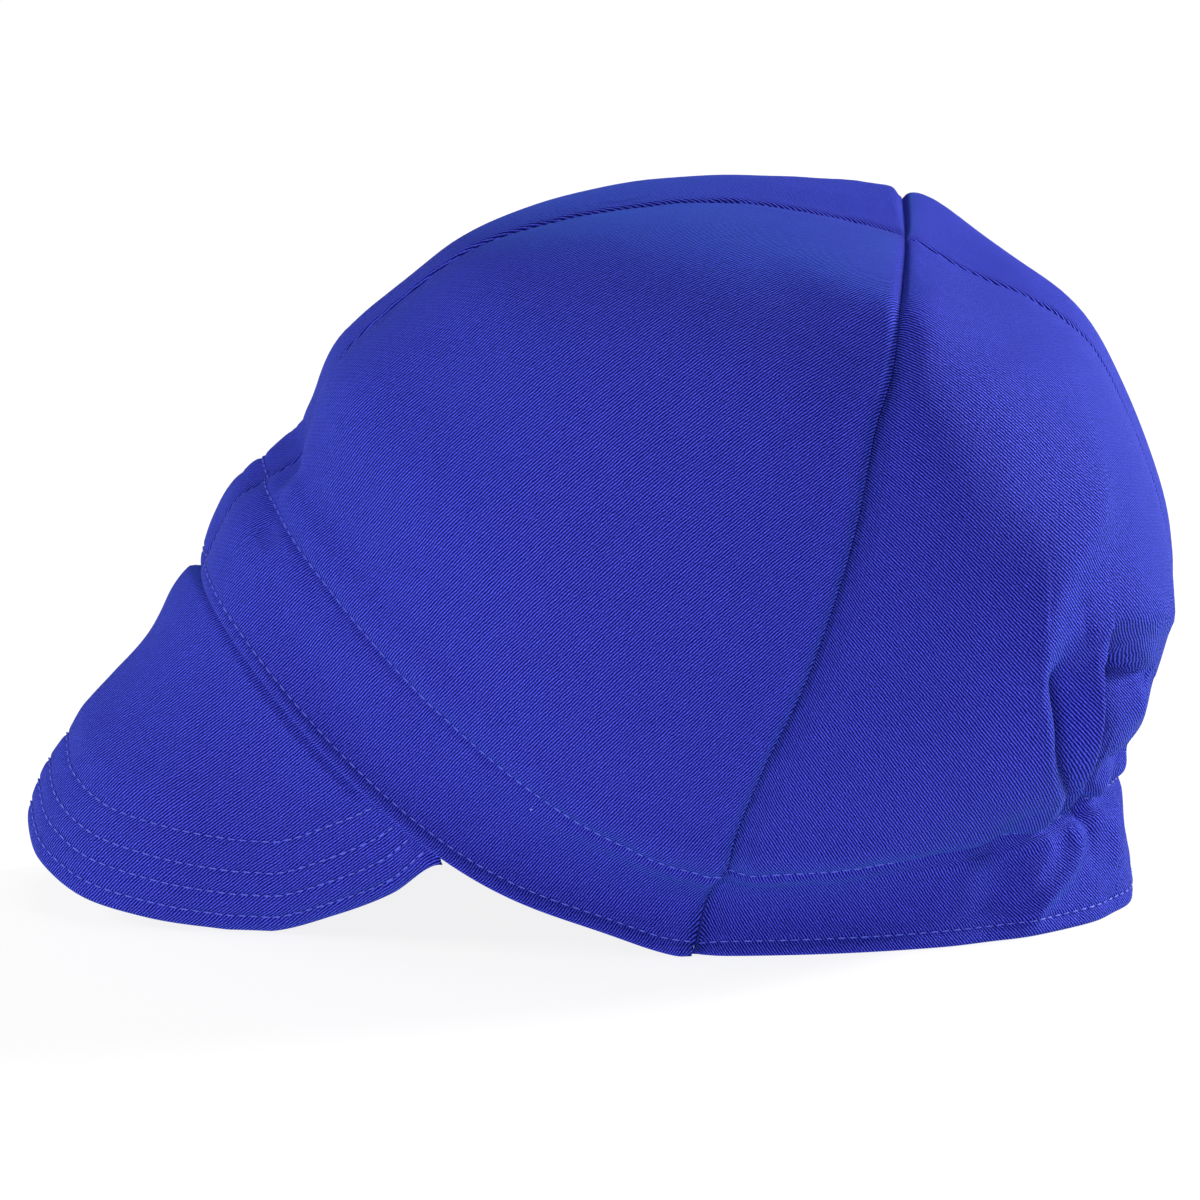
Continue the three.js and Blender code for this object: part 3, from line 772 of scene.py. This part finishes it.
def peak_pattern(points):
    """Cut of the peak: the place of each grid point on it in millimetres."""
    row_step, column_step = 6, 10
    rows = np.unique(np.append(np.arange(0, len(points), row_step), len(points) - 1))
    coarse = points[rows][:, ::column_step]
    middle = coarse.shape[1] // 2
    sideways = run_lengths(coarse, 1)
    sideways -= sideways[:, middle : middle + 1]
    start = np.stack([sideways, -run_lengths(coarse, 0)], axis=-1)
    flat = laid_flat(coarse, start)
    row_places = np.interp(np.arange(len(points)), rows, np.arange(len(rows)))
    fine = refined(flat, row_places, np.arange(points.shape[1]) / column_step)
    return turned(fine, RIB_ANGLE["peak"]) / MM


def sweatband_faces():
    """The sweatband's two faces, its flat size and its cut. At the front it goes behind the peak's margin."""
    around = np.linspace(0, 4, SWEATBAND_COLUMNS, endpoint=False)
    share = np.linspace(0, 1, SWEATBAND_ROWS)
    from_front = np.minimum(around, 4 - around)
    behind_peak = 1 - smooth_step(from_front, PEAK_END, PEAK_END + SWEATBAND_EASE)
    around, share = np.meshgrid(around, share)
    level = STITCH_LEVEL * mix(SWEATBAND_LIFT, SWEATBAND_TOP, share)
    depth = PEAK_DEPTH + SWEATBAND_GAP + behind_peak * (PEAK_WALL + LAYER_GAP)
    middle = behind_crown(around, level, depth + SWEATBAND_WALL / 2)
    into = unit(behind_crown(around, level, depth + SWEATBAND_WALL) - middle)
    height = run_lengths(middle, 0)
    from_edge = np.minimum(height, height[-1] - height)
    half = SWEATBAND_WALL / 2 - rounded(from_edge, SWEATBAND_WALL / 2)
    crease = swelling("band crease", middle, 50)
    half += relief("band groove", from_edge)
    faces = []
    for side in (-1, 1):
        offset = crease * smooth_step(from_edge, 0, SEWN_HOLD) + side * half
        face = middle + into * offset[..., None]
        face[..., 2] = np.maximum(face[..., 2], SWEATBAND_CLEARANCE)
        faces.append(face)
    ring = np.concatenate([middle, middle[:, :1]], axis=1)
    flat = np.stack([run_lengths(ring, 1), run_lengths(ring, 0)], axis=-1)
    return faces, flat_size(flat), turned(flat[:, :-1], RIB_ANGLE["sweatband"]) / MM


def line_at(face, lengths, length):
    """The points of a face's columns at one length along them."""
    columns = zip(face.transpose(1, 2, 0), lengths.T)
    return np.array([[np.interp(length, run, axis) for axis in column] for column, run in columns])


def new_group(name, inputs, outputs):
    """A shader node group with named sockets. Gives the group, its input node and its output node."""
    group = bpy.data.node_groups.new(name, "ShaderNodeTree")
    for label, kind, value in inputs:
        socket = group.interface.new_socket(label, in_out="INPUT", socket_type="NodeSocket" + kind)
        if value is not None:
            socket.default_value = value
    for label, kind in outputs:
        group.interface.new_socket(label, in_out="OUTPUT", socket_type="NodeSocket" + kind)
    return group, group.nodes.new("NodeGroupInput"), group.nodes.new("NodeGroupOutput")


class Wiring:
    """Short ways to place and join the nodes of one tree."""

    def __init__(self, tree):
        self.tree = tree

    def feed(self, socket, value):
        if isinstance(value, bpy.types.NodeSocket):
            self.tree.links.new(value, socket)
        elif value is not None:
            socket.default_value = value

    def node(self, kind, settings=None, **values):
        node = self.tree.nodes.new(kind)
        for name, value in (settings or {}).items():
            setattr(node, name, value)
        for name, value in values.items():
            self.feed(node.inputs[name.replace("_", " ")], value)
        return node

    def sum(self, operation, *values, clamp=False):
        node = self.tree.nodes.new("ShaderNodeMath")
        node.operation, node.use_clamp = operation, clamp
        for socket, value in zip(node.inputs, values):
            self.feed(socket, value)
        return node.outputs[0]

    def blend(self, share, first, second, kind="MIX"):
        node = self.tree.nodes.new("ShaderNodeMix")
        node.data_type, node.blend_type = "RGBA", kind
        for place, value in ((0, share), (6, first), (7, second)):
            self.feed(node.inputs[place], value)
        return node.outputs[2]

    def wave(self, turns):
        """A wave from 0 to 1, one for each turn."""
        sine = self.sum("SINE", self.sum("MULTIPLY", turns, math.tau))
        return self.sum("MULTIPLY_ADD", sine, 0.5, 0.5)

    def noise(self, vector, scale, detail):
        node = self.node("ShaderNodeTexNoise", Vector=vector, Scale=scale, Detail=detail)
        return node.outputs["Fac"]


def blank_material(name):
    """A material with no nodes in it yet, and the wiring of its tree."""
    material = bpy.data.materials.new(name)
    material.use_nodes = True
    material.node_tree.nodes.clear()
    return material, Wiring(material.node_tree)


# The weave in millimetres and shares: pitch and floats, the noises' scales a millimetre, what each counts
RIB_PITCH = 0.66
FLOAT_LENGTH = 1.3
FLOAT_STEP = 0.37
FLOAT_DEPTH = 0.28
RIB_SHARPNESS = 2.0
DRIFT_SCALE = 0.12
JITTER_SCALE = 0.9
JITTER_SHARE = 0.7
YARN_SCALE = 2.2
YARN_HEIGHT = 0.35


def twill_group():
    """Steep twill: raised ribs along U, each broken into floats, from a cut pattern in millimetres."""
    group, given, result = new_group(
        "Twill Weave",
        [
            ("Cut Pattern", "Vector", None),
            ("Rib Pitch", "Float", RIB_PITCH),
            ("Float Length", "Float", FLOAT_LENGTH),
            ("Unevenness", "Float", 0.5),
        ],
        [("Height", "Float")],
    )
    wire = Wiring(group)
    pattern = given.outputs["Cut Pattern"]
    places = wire.node("ShaderNodeSeparateXYZ", Vector=pattern)
    drift = wire.sum("SUBTRACT", wire.noise(pattern, DRIFT_SCALE, 3.0), 0.5)
    jitter = wire.sum("SUBTRACT", wire.noise(pattern, JITTER_SCALE, 1.0), 0.5)
    uneven = wire.sum("MULTIPLY_ADD", jitter, JITTER_SHARE, drift)
    shifted = wire.sum("MULTIPLY_ADD", uneven, given.outputs["Unevenness"], places.outputs["Y"])
    turns = wire.sum("DIVIDE", shifted, given.outputs["Rib Pitch"])
    rib = wire.sum("POWER", wire.wave(turns), RIB_SHARPNESS)
    step = wire.sum("MULTIPLY", wire.sum("FLOOR", turns), FLOAT_STEP)
    along = wire.sum("DIVIDE", places.outputs["X"], given.outputs["Float Length"])
    body = wire.sum("MULTIPLY_ADD", wire.wave(wire.sum("ADD", along, step)), FLOAT_DEPTH, 1 - FLOAT_DEPTH)
    yarn = wire.sum("SUBTRACT", wire.noise(pattern, YARN_SCALE, 3.0), 0.5)
    height = wire.sum("MULTIPLY_ADD", yarn, YARN_HEIGHT, wire.sum("MULTIPLY", rib, body))
    wire.feed(result.inputs["Height"], height)
    return group


# Fibres of lint, as shares of their spacing and of all the places that they could lie in
LINT_RADIUS = 0.016
LINT_SHARE = 0.2


def wear_group():
    """Handling marks and lint: slow patches of lighter cloth, and sparse pale fibres."""
    group, given, result = new_group(
        "Handling and Lint",
        [
            ("Cut Pattern", "Vector", None),
            ("Patch Size", "Float", 45.0),
            ("Lint Spacing", "Float", 9.0),
        ],
        [("Patch", "Float"), ("Lint", "Float")],
    )
    wire = Wiring(group)
    pattern = given.outputs["Cut Pattern"]
    patch = wire.noise(pattern, wire.sum("DIVIDE", 1.0, given.outputs["Patch Size"]), 4.0)
    longwise = (3.0, 1.0, 1.0)
    stretched = wire.node("ShaderNodeMapping", {"vector_type": "TEXTURE"}, Vector=pattern, Scale=longwise)
    spacing = wire.sum("DIVIDE", 1.0, given.outputs["Lint Spacing"])
    cells = wire.node("ShaderNodeTexVoronoi", Vector=stretched.outputs[0], Scale=spacing)
    near = wire.sum("LESS_THAN", cells.outputs["Distance"], LINT_RADIUS)
    chosen = wire.node("ShaderNodeSeparateColor", Color=cells.outputs["Color"])
    lint = wire.sum("MULTIPLY", near, wire.sum("GREATER_THAN", chosen.outputs[0], 1 - LINT_SHARE))
    wire.feed(result.inputs["Patch"], patch)
    wire.feed(result.inputs["Lint"], lint)
    return group


# Colour of the weave's valleys, which is painted shade, and of its ridges, which is a painted sheen
# highlight, and of patches that are handled more, in shares of the dye
VALLEY_SHADE_SHARE = (0.06, 0.08, 0.3)
RIDGE_HIGHLIGHT_SHARE = (8.5, 8.7, 2.55)
PATCH_SHARE = (1.16, 1.18, 1.1, 1)
LINT_COLOUR = (0.55, 0.6, 0.85, 1)


def cloth_material(name, weave, wear, settings, darkness):
    """Dyed twill: ribs with painted shade in their valleys and a painted sheen highlight on their ridges,
    roughness and relief, slow patches, lint and a soft sheen.
    """
    material, wire = blank_material(name)
    pattern = wire.node("ShaderNodeUVMap", {"uv_map": "cut_pattern"}).outputs["UV"]
    pitch = settings.rib_pitch
    cloth = wire.node("ShaderNodeGroup", {"node_tree": weave}, Cut_Pattern=pattern, Rib_Pitch=pitch)
    marks = wire.node("ShaderNodeGroup", {"node_tree": wear}, Cut_Pattern=pattern)
    base = [channel * (1 - darkness) for channel in settings.dye]
    # Painted light on the ribs: the valley colour is painted shade and the ridge colour, much lighter in red
    # and green, is a painted sheen highlight; the weave's height mixes them
    valley = (*[channel * share for channel, share in zip(base, VALLEY_SHADE_SHARE)], 1)
    ridge_highlight = (*[min(channel * share, 1) for channel, share in zip(base, RIDGE_HIGHLIGHT_SHARE)], 1)
    ribs_with_painted_light = wire.blend(cloth.outputs["Height"], valley, ridge_highlight)
    handled = wire.blend(1.0, ribs_with_painted_light, PATCH_SHARE, "MULTIPLY")
    patched = wire.blend(wire.sum("MULTIPLY", marks.outputs["Patch"], 0.5), ribs_with_painted_light, handled)
    linted = wire.blend(wire.sum("MULTIPLY", marks.outputs["Lint"], 0.55), patched, LINT_COLOUR)
    rough = wire.sum("MULTIPLY_ADD", cloth.outputs["Height"], -0.14, settings.roughness, clamp=True)
    bumps = wire.node("ShaderNodeBump", Height=cloth.outputs["Height"], Strength=0.8, Distance=0.3 * MM)
    shader = wire.node(
        "ShaderNodeBsdfPrincipled",
        Base_Color=linted,
        Roughness=rough,
        Normal=bumps.outputs["Normal"],
        Specular_IOR_Level=0.12,
        Specular_Tint=(0.08, 0.3, 1.0, 1),
        Sheen_Weight=settings.sheen,
        Sheen_Roughness=0.45,
        Sheen_Tint=(0.04, 0.36, 0.95, 1),
    )
    wire.node("ShaderNodeOutputMaterial", Surface=shader.outputs["BSDF"])
    return material


PLY_SCALE = 4200.0


def thread_material(name, colour):
    """Sewing thread: twisted plies on Object coordinates."""
    material, wire = blank_material(name)
    plies = wire.noise(wire.node("ShaderNodeTexCoord").outputs["Object"], PLY_SCALE, 1.0)
    dark = (*[channel * 0.55 for channel in colour], 1)
    light = (*[min(channel * 1.3, 1) for channel in colour], 1)
    bumps = wire.node("ShaderNodeBump", Height=plies, Strength=0.4, Distance=0.08 * MM)
    shader = wire.node(
        "ShaderNodeBsdfPrincipled",
        Base_Color=wire.blend(plies, dark, light),
        Roughness=wire.sum("MULTIPLY_ADD", plies, 0.2, 0.4),
        Normal=bumps.outputs["Normal"],
    )
    wire.node("ShaderNodeOutputMaterial", Surface=shader.outputs["BSDF"])
    return material


def stitch_tree():
    """Geometry nodes that lay evenly spaced stitches along the edges of a path."""
    tree = bpy.data.node_groups.new("Stitches", "GeometryNodeTree")
    tree.interface.new_socket("Path", in_out="INPUT", socket_type="NodeSocketGeometry")
    sizes = [("Stitch Pitch", 2.9 * MM), ("Stitch Length", 2.3 * MM), ("Thread Width", 0.45 * MM)]
    for label, value in sizes:
        tree.interface.new_socket(label, in_out="INPUT", socket_type="NodeSocketFloat").default_value = value
    tree.interface.new_socket("Thread", in_out="INPUT", socket_type="NodeSocketMaterial")
    tree.interface.new_socket("Stitches", in_out="OUTPUT", socket_type="NodeSocketGeometry")
    wire = Wiring(tree)
    given, result = tree.nodes.new("NodeGroupInput"), tree.nodes.new("NodeGroupOutput")
    line = wire.node("GeometryNodeMeshToCurve", Mesh=given.outputs["Path"])
    pitch = given.outputs["Stitch Pitch"]
    even = wire.node("GeometryNodeResampleCurve", {"mode": "LENGTH"}, Curve=line.outputs[0], Length=pitch)
    tangent = wire.node("GeometryNodeInputTangent").outputs[0]
    turn = wire.node("FunctionNodeAlignRotationToVector", {"axis": "X"}, Vector=tangent)
    size = wire.node("ShaderNodeCombineXYZ")
    for axis, label in zip("XYZ", ("Stitch Length", "Thread Width", "Thread Width")):
        wire.feed(size.inputs[axis], given.outputs[label])
    ball = wire.node("GeometryNodeMeshUVSphere", Segments=8, Rings=7, Radius=0.5)
    stitch = wire.node("GeometryNodeTransform", Geometry=ball.outputs[0], Scale=size.outputs[0])
    vary = wire.node("FunctionNodeRandomValue", {"data_type": "FLOAT"})
    for place, value in (("Min", 0.86), ("Max", 1.08), ("Seed", 7)):
        socket = next(s for s in vary.inputs if s.name == place and s.enabled)
        socket.default_value = value
    chosen = next(s for s in vary.outputs if s.enabled)
    laid = wire.node(
        "GeometryNodeInstanceOnPoints",
        Points=even.outputs[0],
        Instance=stitch.outputs[0],
        Rotation=turn.outputs[0],
        Scale=chosen,
    )
    real = wire.node("GeometryNodeRealizeInstances", Geometry=laid.outputs[0])
    smooth = wire.node("GeometryNodeSetShadeSmooth", Geometry=real.outputs[0])
    thread = given.outputs["Thread"]
    dyed = wire.node("GeometryNodeSetMaterial", Geometry=smooth.outputs[0], Material=thread)
    wire.feed(result.inputs["Stitches"], dyed.outputs[0])
    return tree


def path_object(name, lines):
    """A mesh of open paths, each a list of points."""
    points, edges = [], []
    for line in lines:
        start = len(points)
        points += [tuple(point) for point in line]
        edges += [(start + place, start + place + 1) for place in range(len(line) - 1)]
    mesh = bpy.data.meshes.new(name)
    mesh.from_pydata(points, edges, [])
    return placed(name, mesh)


def sewn(name, lines, tree, settings, thread):
    """The stitches along some lines as one plain mesh object."""
    piece = path_object(name, lines)
    modifier = piece.modifiers.new("Stitches", "NODES")
    modifier.node_group = tree
    values = {
        "Stitch Pitch": settings.stitch_pitch,
        "Stitch Length": settings.stitch_length,
        "Thread Width": settings.thread_width,
        "Thread": thread,
    }
    for item in tree.interface.items_tree:
        if item.name in values and item.in_out == "INPUT":
            modifier[item.identifier] = values[item.name]
    shown = piece.evaluated_get(bpy.context.evaluated_depsgraph_get())
    mesh = bpy.data.meshes.new_from_object(shown)
    piece.modifiers.clear()
    piece.data = mesh
    if not mesh.polygons:
        raise RuntimeError(f"{name} has no stitches")
    return piece


# What the operators have made so far, for those that come after them
made = {}

DARKNESS = {"crown": 0.0, "peak": 0.0, "sweatband": 0.25}


def cloth_look(settings, kind):
    """The material of one kind of cloth, made once with the node groups that all of them share."""
    if "weave" not in made:
        made["weave"], made["wear"] = twill_group(), wear_group()
    if kind not in made:
        made[kind] = cloth_material(f"{kind} twill", made["weave"], made["wear"], settings, DARKNESS[kind])
    return made[kind]


class CapSettings(bpy.types.PropertyGroup):
    """Sizes and colours of the cap that a maker would change."""

    dye: bpy.props.FloatVectorProperty(
        name="Dye",
        description="Colour of the twill",
        subtype="COLOR",
        size=3,
        min=0,
        max=1,
        default=(0.0112, 0.0118, 0.36),
    )
    thread_dye: bpy.props.FloatVectorProperty(
        name="Thread",
        description="Colour of the sewing thread",
        subtype="COLOR",
        size=3,
        min=0,
        max=1,
        default=(0.06, 0.085, 0.6),
    )
    rib_pitch: bpy.props.FloatProperty(
        name="Rib Pitch",
        description="Distance between the twill's ribs, in millimetres of the cut pattern",
        default=RIB_PITCH,
        min=0.2,
        max=5,
    )
    roughness: bpy.props.FloatProperty(
        name="Roughness",
        description="Roughness in the valleys of the weave",
        default=0.78,
        min=0,
        max=1,
        subtype="FACTOR",
    )
    sheen: bpy.props.FloatProperty(
        name="Sheen",
        description="Soft light on the fibres' ends",
        default=0.16,
        min=0,
        max=1,
        subtype="FACTOR",
    )
    stitch_pitch: bpy.props.FloatProperty(
        name="Stitch Pitch",
        description="Distance from one stitch to the next",
        default=2.9 * MM,
        min=MM,
        unit="LENGTH",
    )
    stitch_length: bpy.props.FloatProperty(
        name="Stitch Length",
        description="Length of the thread that shows in a stitch",
        default=2.3 * MM,
        min=0.5 * MM,
        unit="LENGTH",
    )
    thread_width: bpy.props.FloatProperty(
        name="Thread Width",
        description="Width of the sewing thread",
        default=0.5 * MM,
        min=0.1 * MM,
        unit="LENGTH",
    )


class StageSettings(bpy.types.PropertyGroup):
    """The camera, the floor and the light."""

    elevation: bpy.props.FloatProperty(
        name="Elevation",
        description="Angle of the camera above the floor",
        default=math.radians(15),
        subtype="ANGLE",
    )
    view_width: bpy.props.FloatProperty(
        name="View Width",
        description="Width of the picture at the cap",
        default=0.3,
        unit="LENGTH",
    )
    light: bpy.props.FloatProperty(
        name="Light",
        description="Strength of the soft boxes, as a share of the usual one",
        default=1.0,
        min=0,
    )


class CAP_OT_crown(bpy.types.Operator):
    """Sews the four crown panels"""

    bl_idname = "welding_cap.crown"
    bl_label = "Crown Panels"

    def execute(self, context):
        settings = context.scene.cap
        made["lines"] = {"stitch_line": [], "hem": []}
        for name, (part, hand) in PANELS.items():
            grid = PanelGrid(part, hand)
            outer, inner = panel_faces(grid)
            (width, length, area), pattern = panel_pattern(grid)
            panel = shell_mesh(name + "_cloth", outer, inner, pattern, peaked=True)
            panel.data.materials.append(cloth_look(settings, "crown"))
            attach(panel, "root")
            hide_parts(name)
            raised = outer + grid.out * THREAD_LIFT
            clear = grid.from_seam[0] > STITCH_FREE
            made["lines"]["stitch_line"].append(line_at(raised, grid.past_stitch, 0.0)[clear])
            made["lines"]["hem"].append(line_at(raised, grid.from_hem, TOPSTITCH_UP)[clear])
        return {"FINISHED"}


class CAP_OT_peak(bpy.types.Operator):
    """Sews the padded peak"""

    bl_idname = "welding_cap.peak"
    bl_label = "Peak"

    def execute(self, context):
        points = peak_points()
        (outer, inner), from_edge = peak_faces(points)
        peak = shell_mesh("peak_cloth", outer, inner, peak_pattern(points))
        peak.data.materials.append(cloth_look(context.scene.cap, "peak"))
        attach(peak, "root")
        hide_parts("peak")
        made["peak"] = (outer, from_edge)
        return {"FINISHED"}


class CAP_OT_sweatband(bpy.types.Operator):
    """Sews the sweatband inside the lower edge"""

    bl_idname = "welding_cap.sweatband"
    bl_label = "Sweatband"

    def execute(self, context):
        faces, (width, length, _), pattern = sweatband_faces()
        band = shell_mesh("sweatband_cloth", *faces, pattern, ring=True)
        band.data.materials.append(cloth_look(context.scene.cap, "sweatband"))
        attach(band, "root")
        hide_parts("sweatband")
        return {"FINISHED"}


class CAP_OT_stitching(bpy.types.Operator):
    """Sews the stitch line, the hem's topstitching and the rows of the peak"""

    bl_idname = "welding_cap.stitching"
    bl_label = "Stitching"

    def execute(self, context):
        settings = context.scene.cap
        thread = thread_material("blue thread", settings.thread_dye)
        tree = stitch_tree()
        for name, lines in made["lines"].items():
            stitches = sewn(name + "_stitches", lines, tree, settings, thread)
            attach(stitches, "root")
        outer, from_edge = made["peak"]
        out = out_of_grid(outer)
        out *= np.sign(-out[PEAK_ROWS_TUCKED + 4, PEAK_COLUMNS // 2, 0])
        raised = outer + out * THREAD_LIFT
        lines = []
        for row in PEAK_ROWS:
            run = line_at(raised[::-1], from_edge[::-1], row)
            under_crown = from_edge[PEAK_ROWS_TUCKED] - row < ROOT_FREE
            lines += [piece for piece in split_where(run, under_crown) if len(piece) > 3]
        rows = sewn("peak_stitches", lines, tree, settings, thread)
        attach(rows, "root")
        return {"FINISHED"}


def split_where(points, breaks):
    """The runs of a line between the points where it breaks off."""
    runs, run = [], []
    for point, broken in zip(points, breaks):
        if broken:
            runs.append(run)
            run = []
        else:
            run.append(point)
    return [*runs, run]


class CAP_OT_stage(bpy.types.Operator):
    """Sets up the floor, the soft light and the camera"""

    bl_idname = "welding_cap.stage"
    bl_label = "Stage"

    def execute(self, context):
        settings = context.scene.cap_stage
        add_floor()
        add_light(context.scene, settings.light)
        add_camera(context.scene, settings)
        return {"FINISHED"}


# Stage: the soft boxes are aimed at LIT_POINT, and each row has its name, place, size and power
FLOOR_HALF = 4.0
FLOOR_GLOW = 0.86
WORLD_LIGHT = 0.1
LIT_POINT = Vector((0, 0, 0.08))
SOFT_BOXES = [
    ("left box", (-1.3, 0.0, 0.6), 0.6, 13.0),
    ("right box", (1.2, 0.45, 0.7), 0.35, 31.0),
    ("top box", (0.0, 0.3, 1.5), 0.8, 5.5),
    ("front box", (-0.15, -1.4, 0.15), 0.4, 12.5),
]
SEEN_POINT = Vector((-0.25 * MM, 0, 75.8 * MM))
CAMERA_AWAY = 1.5


def add_floor():
    mesh = bpy.data.meshes.new("floor")
    corners = [(x * FLOOR_HALF, y * FLOOR_HALF, 0) for x, y in ((-1, -1), (1, -1), (1, 1), (-1, 1))]
    mesh.from_pydata(corners, [], [(0, 1, 2, 3)])
    material, wire = blank_material("pale floor")
    shader = wire.node(
        "ShaderNodeBsdfPrincipled",
        Base_Color=(0.15, 0.15, 0.15, 1),
        Emission_Color=(1, 1, 1, 1),
        Emission_Strength=FLOOR_GLOW,
        Roughness=0.8,
        Specular_IOR_Level=0.1,
    )
    wire.node("ShaderNodeOutputMaterial", Surface=shader.outputs["BSDF"])
    mesh.materials.append(material)
    floor = placed("floor", mesh)


def add_light(scene, strength):
    world = scene.world or bpy.data.worlds.new("studio")
    scene.world = world
    world.use_nodes = True
    sky = world.node_tree.nodes["Background"]
    sky.inputs["Color"].default_value = (1, 1, 1, 1)
    sky.inputs["Strength"].default_value = WORLD_LIGHT * strength
    for name, place, size, power in SOFT_BOXES:
        light = bpy.data.lights.new(name, "AREA")
        light.energy, light.size = power * strength, size
        lamp = placed(name, light)
        lamp.location = place
        lamp.rotation_euler = (LIT_POINT - Vector(place)).to_track_quat("-Z", "Y").to_euler()


def add_camera(scene, settings):
    back = Vector((0, -math.cos(settings.elevation), math.sin(settings.elevation)))
    lens = bpy.data.cameras.new("camera")
    lens.type, lens.ortho_scale = "ORTHO", settings.view_width
    camera = placed("camera", lens)
    camera.location = SEEN_POINT + back * CAMERA_AWAY
    camera.rotation_euler = (-back).to_track_quat("-Z", "Y").to_euler()
    scene.camera = camera
    scene.view_settings.view_transform = "Standard"


class CAP_PT_panel(bpy.types.Panel):
    """Lists the steps of the cap's making"""

    bl_label = "Welding Cap"
    bl_idname = "CAP_PT_panel"
    bl_space_type = "VIEW_3D"
    bl_region_type = "UI"
    bl_category = "Cap"

    def draw(self, context):
        for group in (context.scene.cap, context.scene.cap_stage):
            for name in group.__annotations__:
                self.layout.prop(group, name)
        for step in STEPS:
            self.layout.operator(step.bl_idname)


STEPS = [CAP_OT_crown, CAP_OT_peak, CAP_OT_sweatband, CAP_OT_stitching, CAP_OT_stage]
CLASSES = [CapSettings, StageSettings, *STEPS, CAP_PT_panel]


def register():
    for item in CLASSES:
        bpy.utils.register_class(item)
    bpy.types.Scene.cap = bpy.props.PointerProperty(type=CapSettings)
    bpy.types.Scene.cap_stage = bpy.props.PointerProperty(type=StageSettings)


def unregister():
    del bpy.types.Scene.cap_stage
    del bpy.types.Scene.cap
    for item in reversed(CLASSES):
        bpy.utils.unregister_class(item)


def main():
    register()
    bpy.ops.welding_cap.crown()
    bpy.ops.welding_cap.peak()
    bpy.ops.welding_cap.sweatband()
    bpy.ops.welding_cap.stitching()
    bpy.ops.welding_cap.stage()


if __name__ == "__main__":
    main()
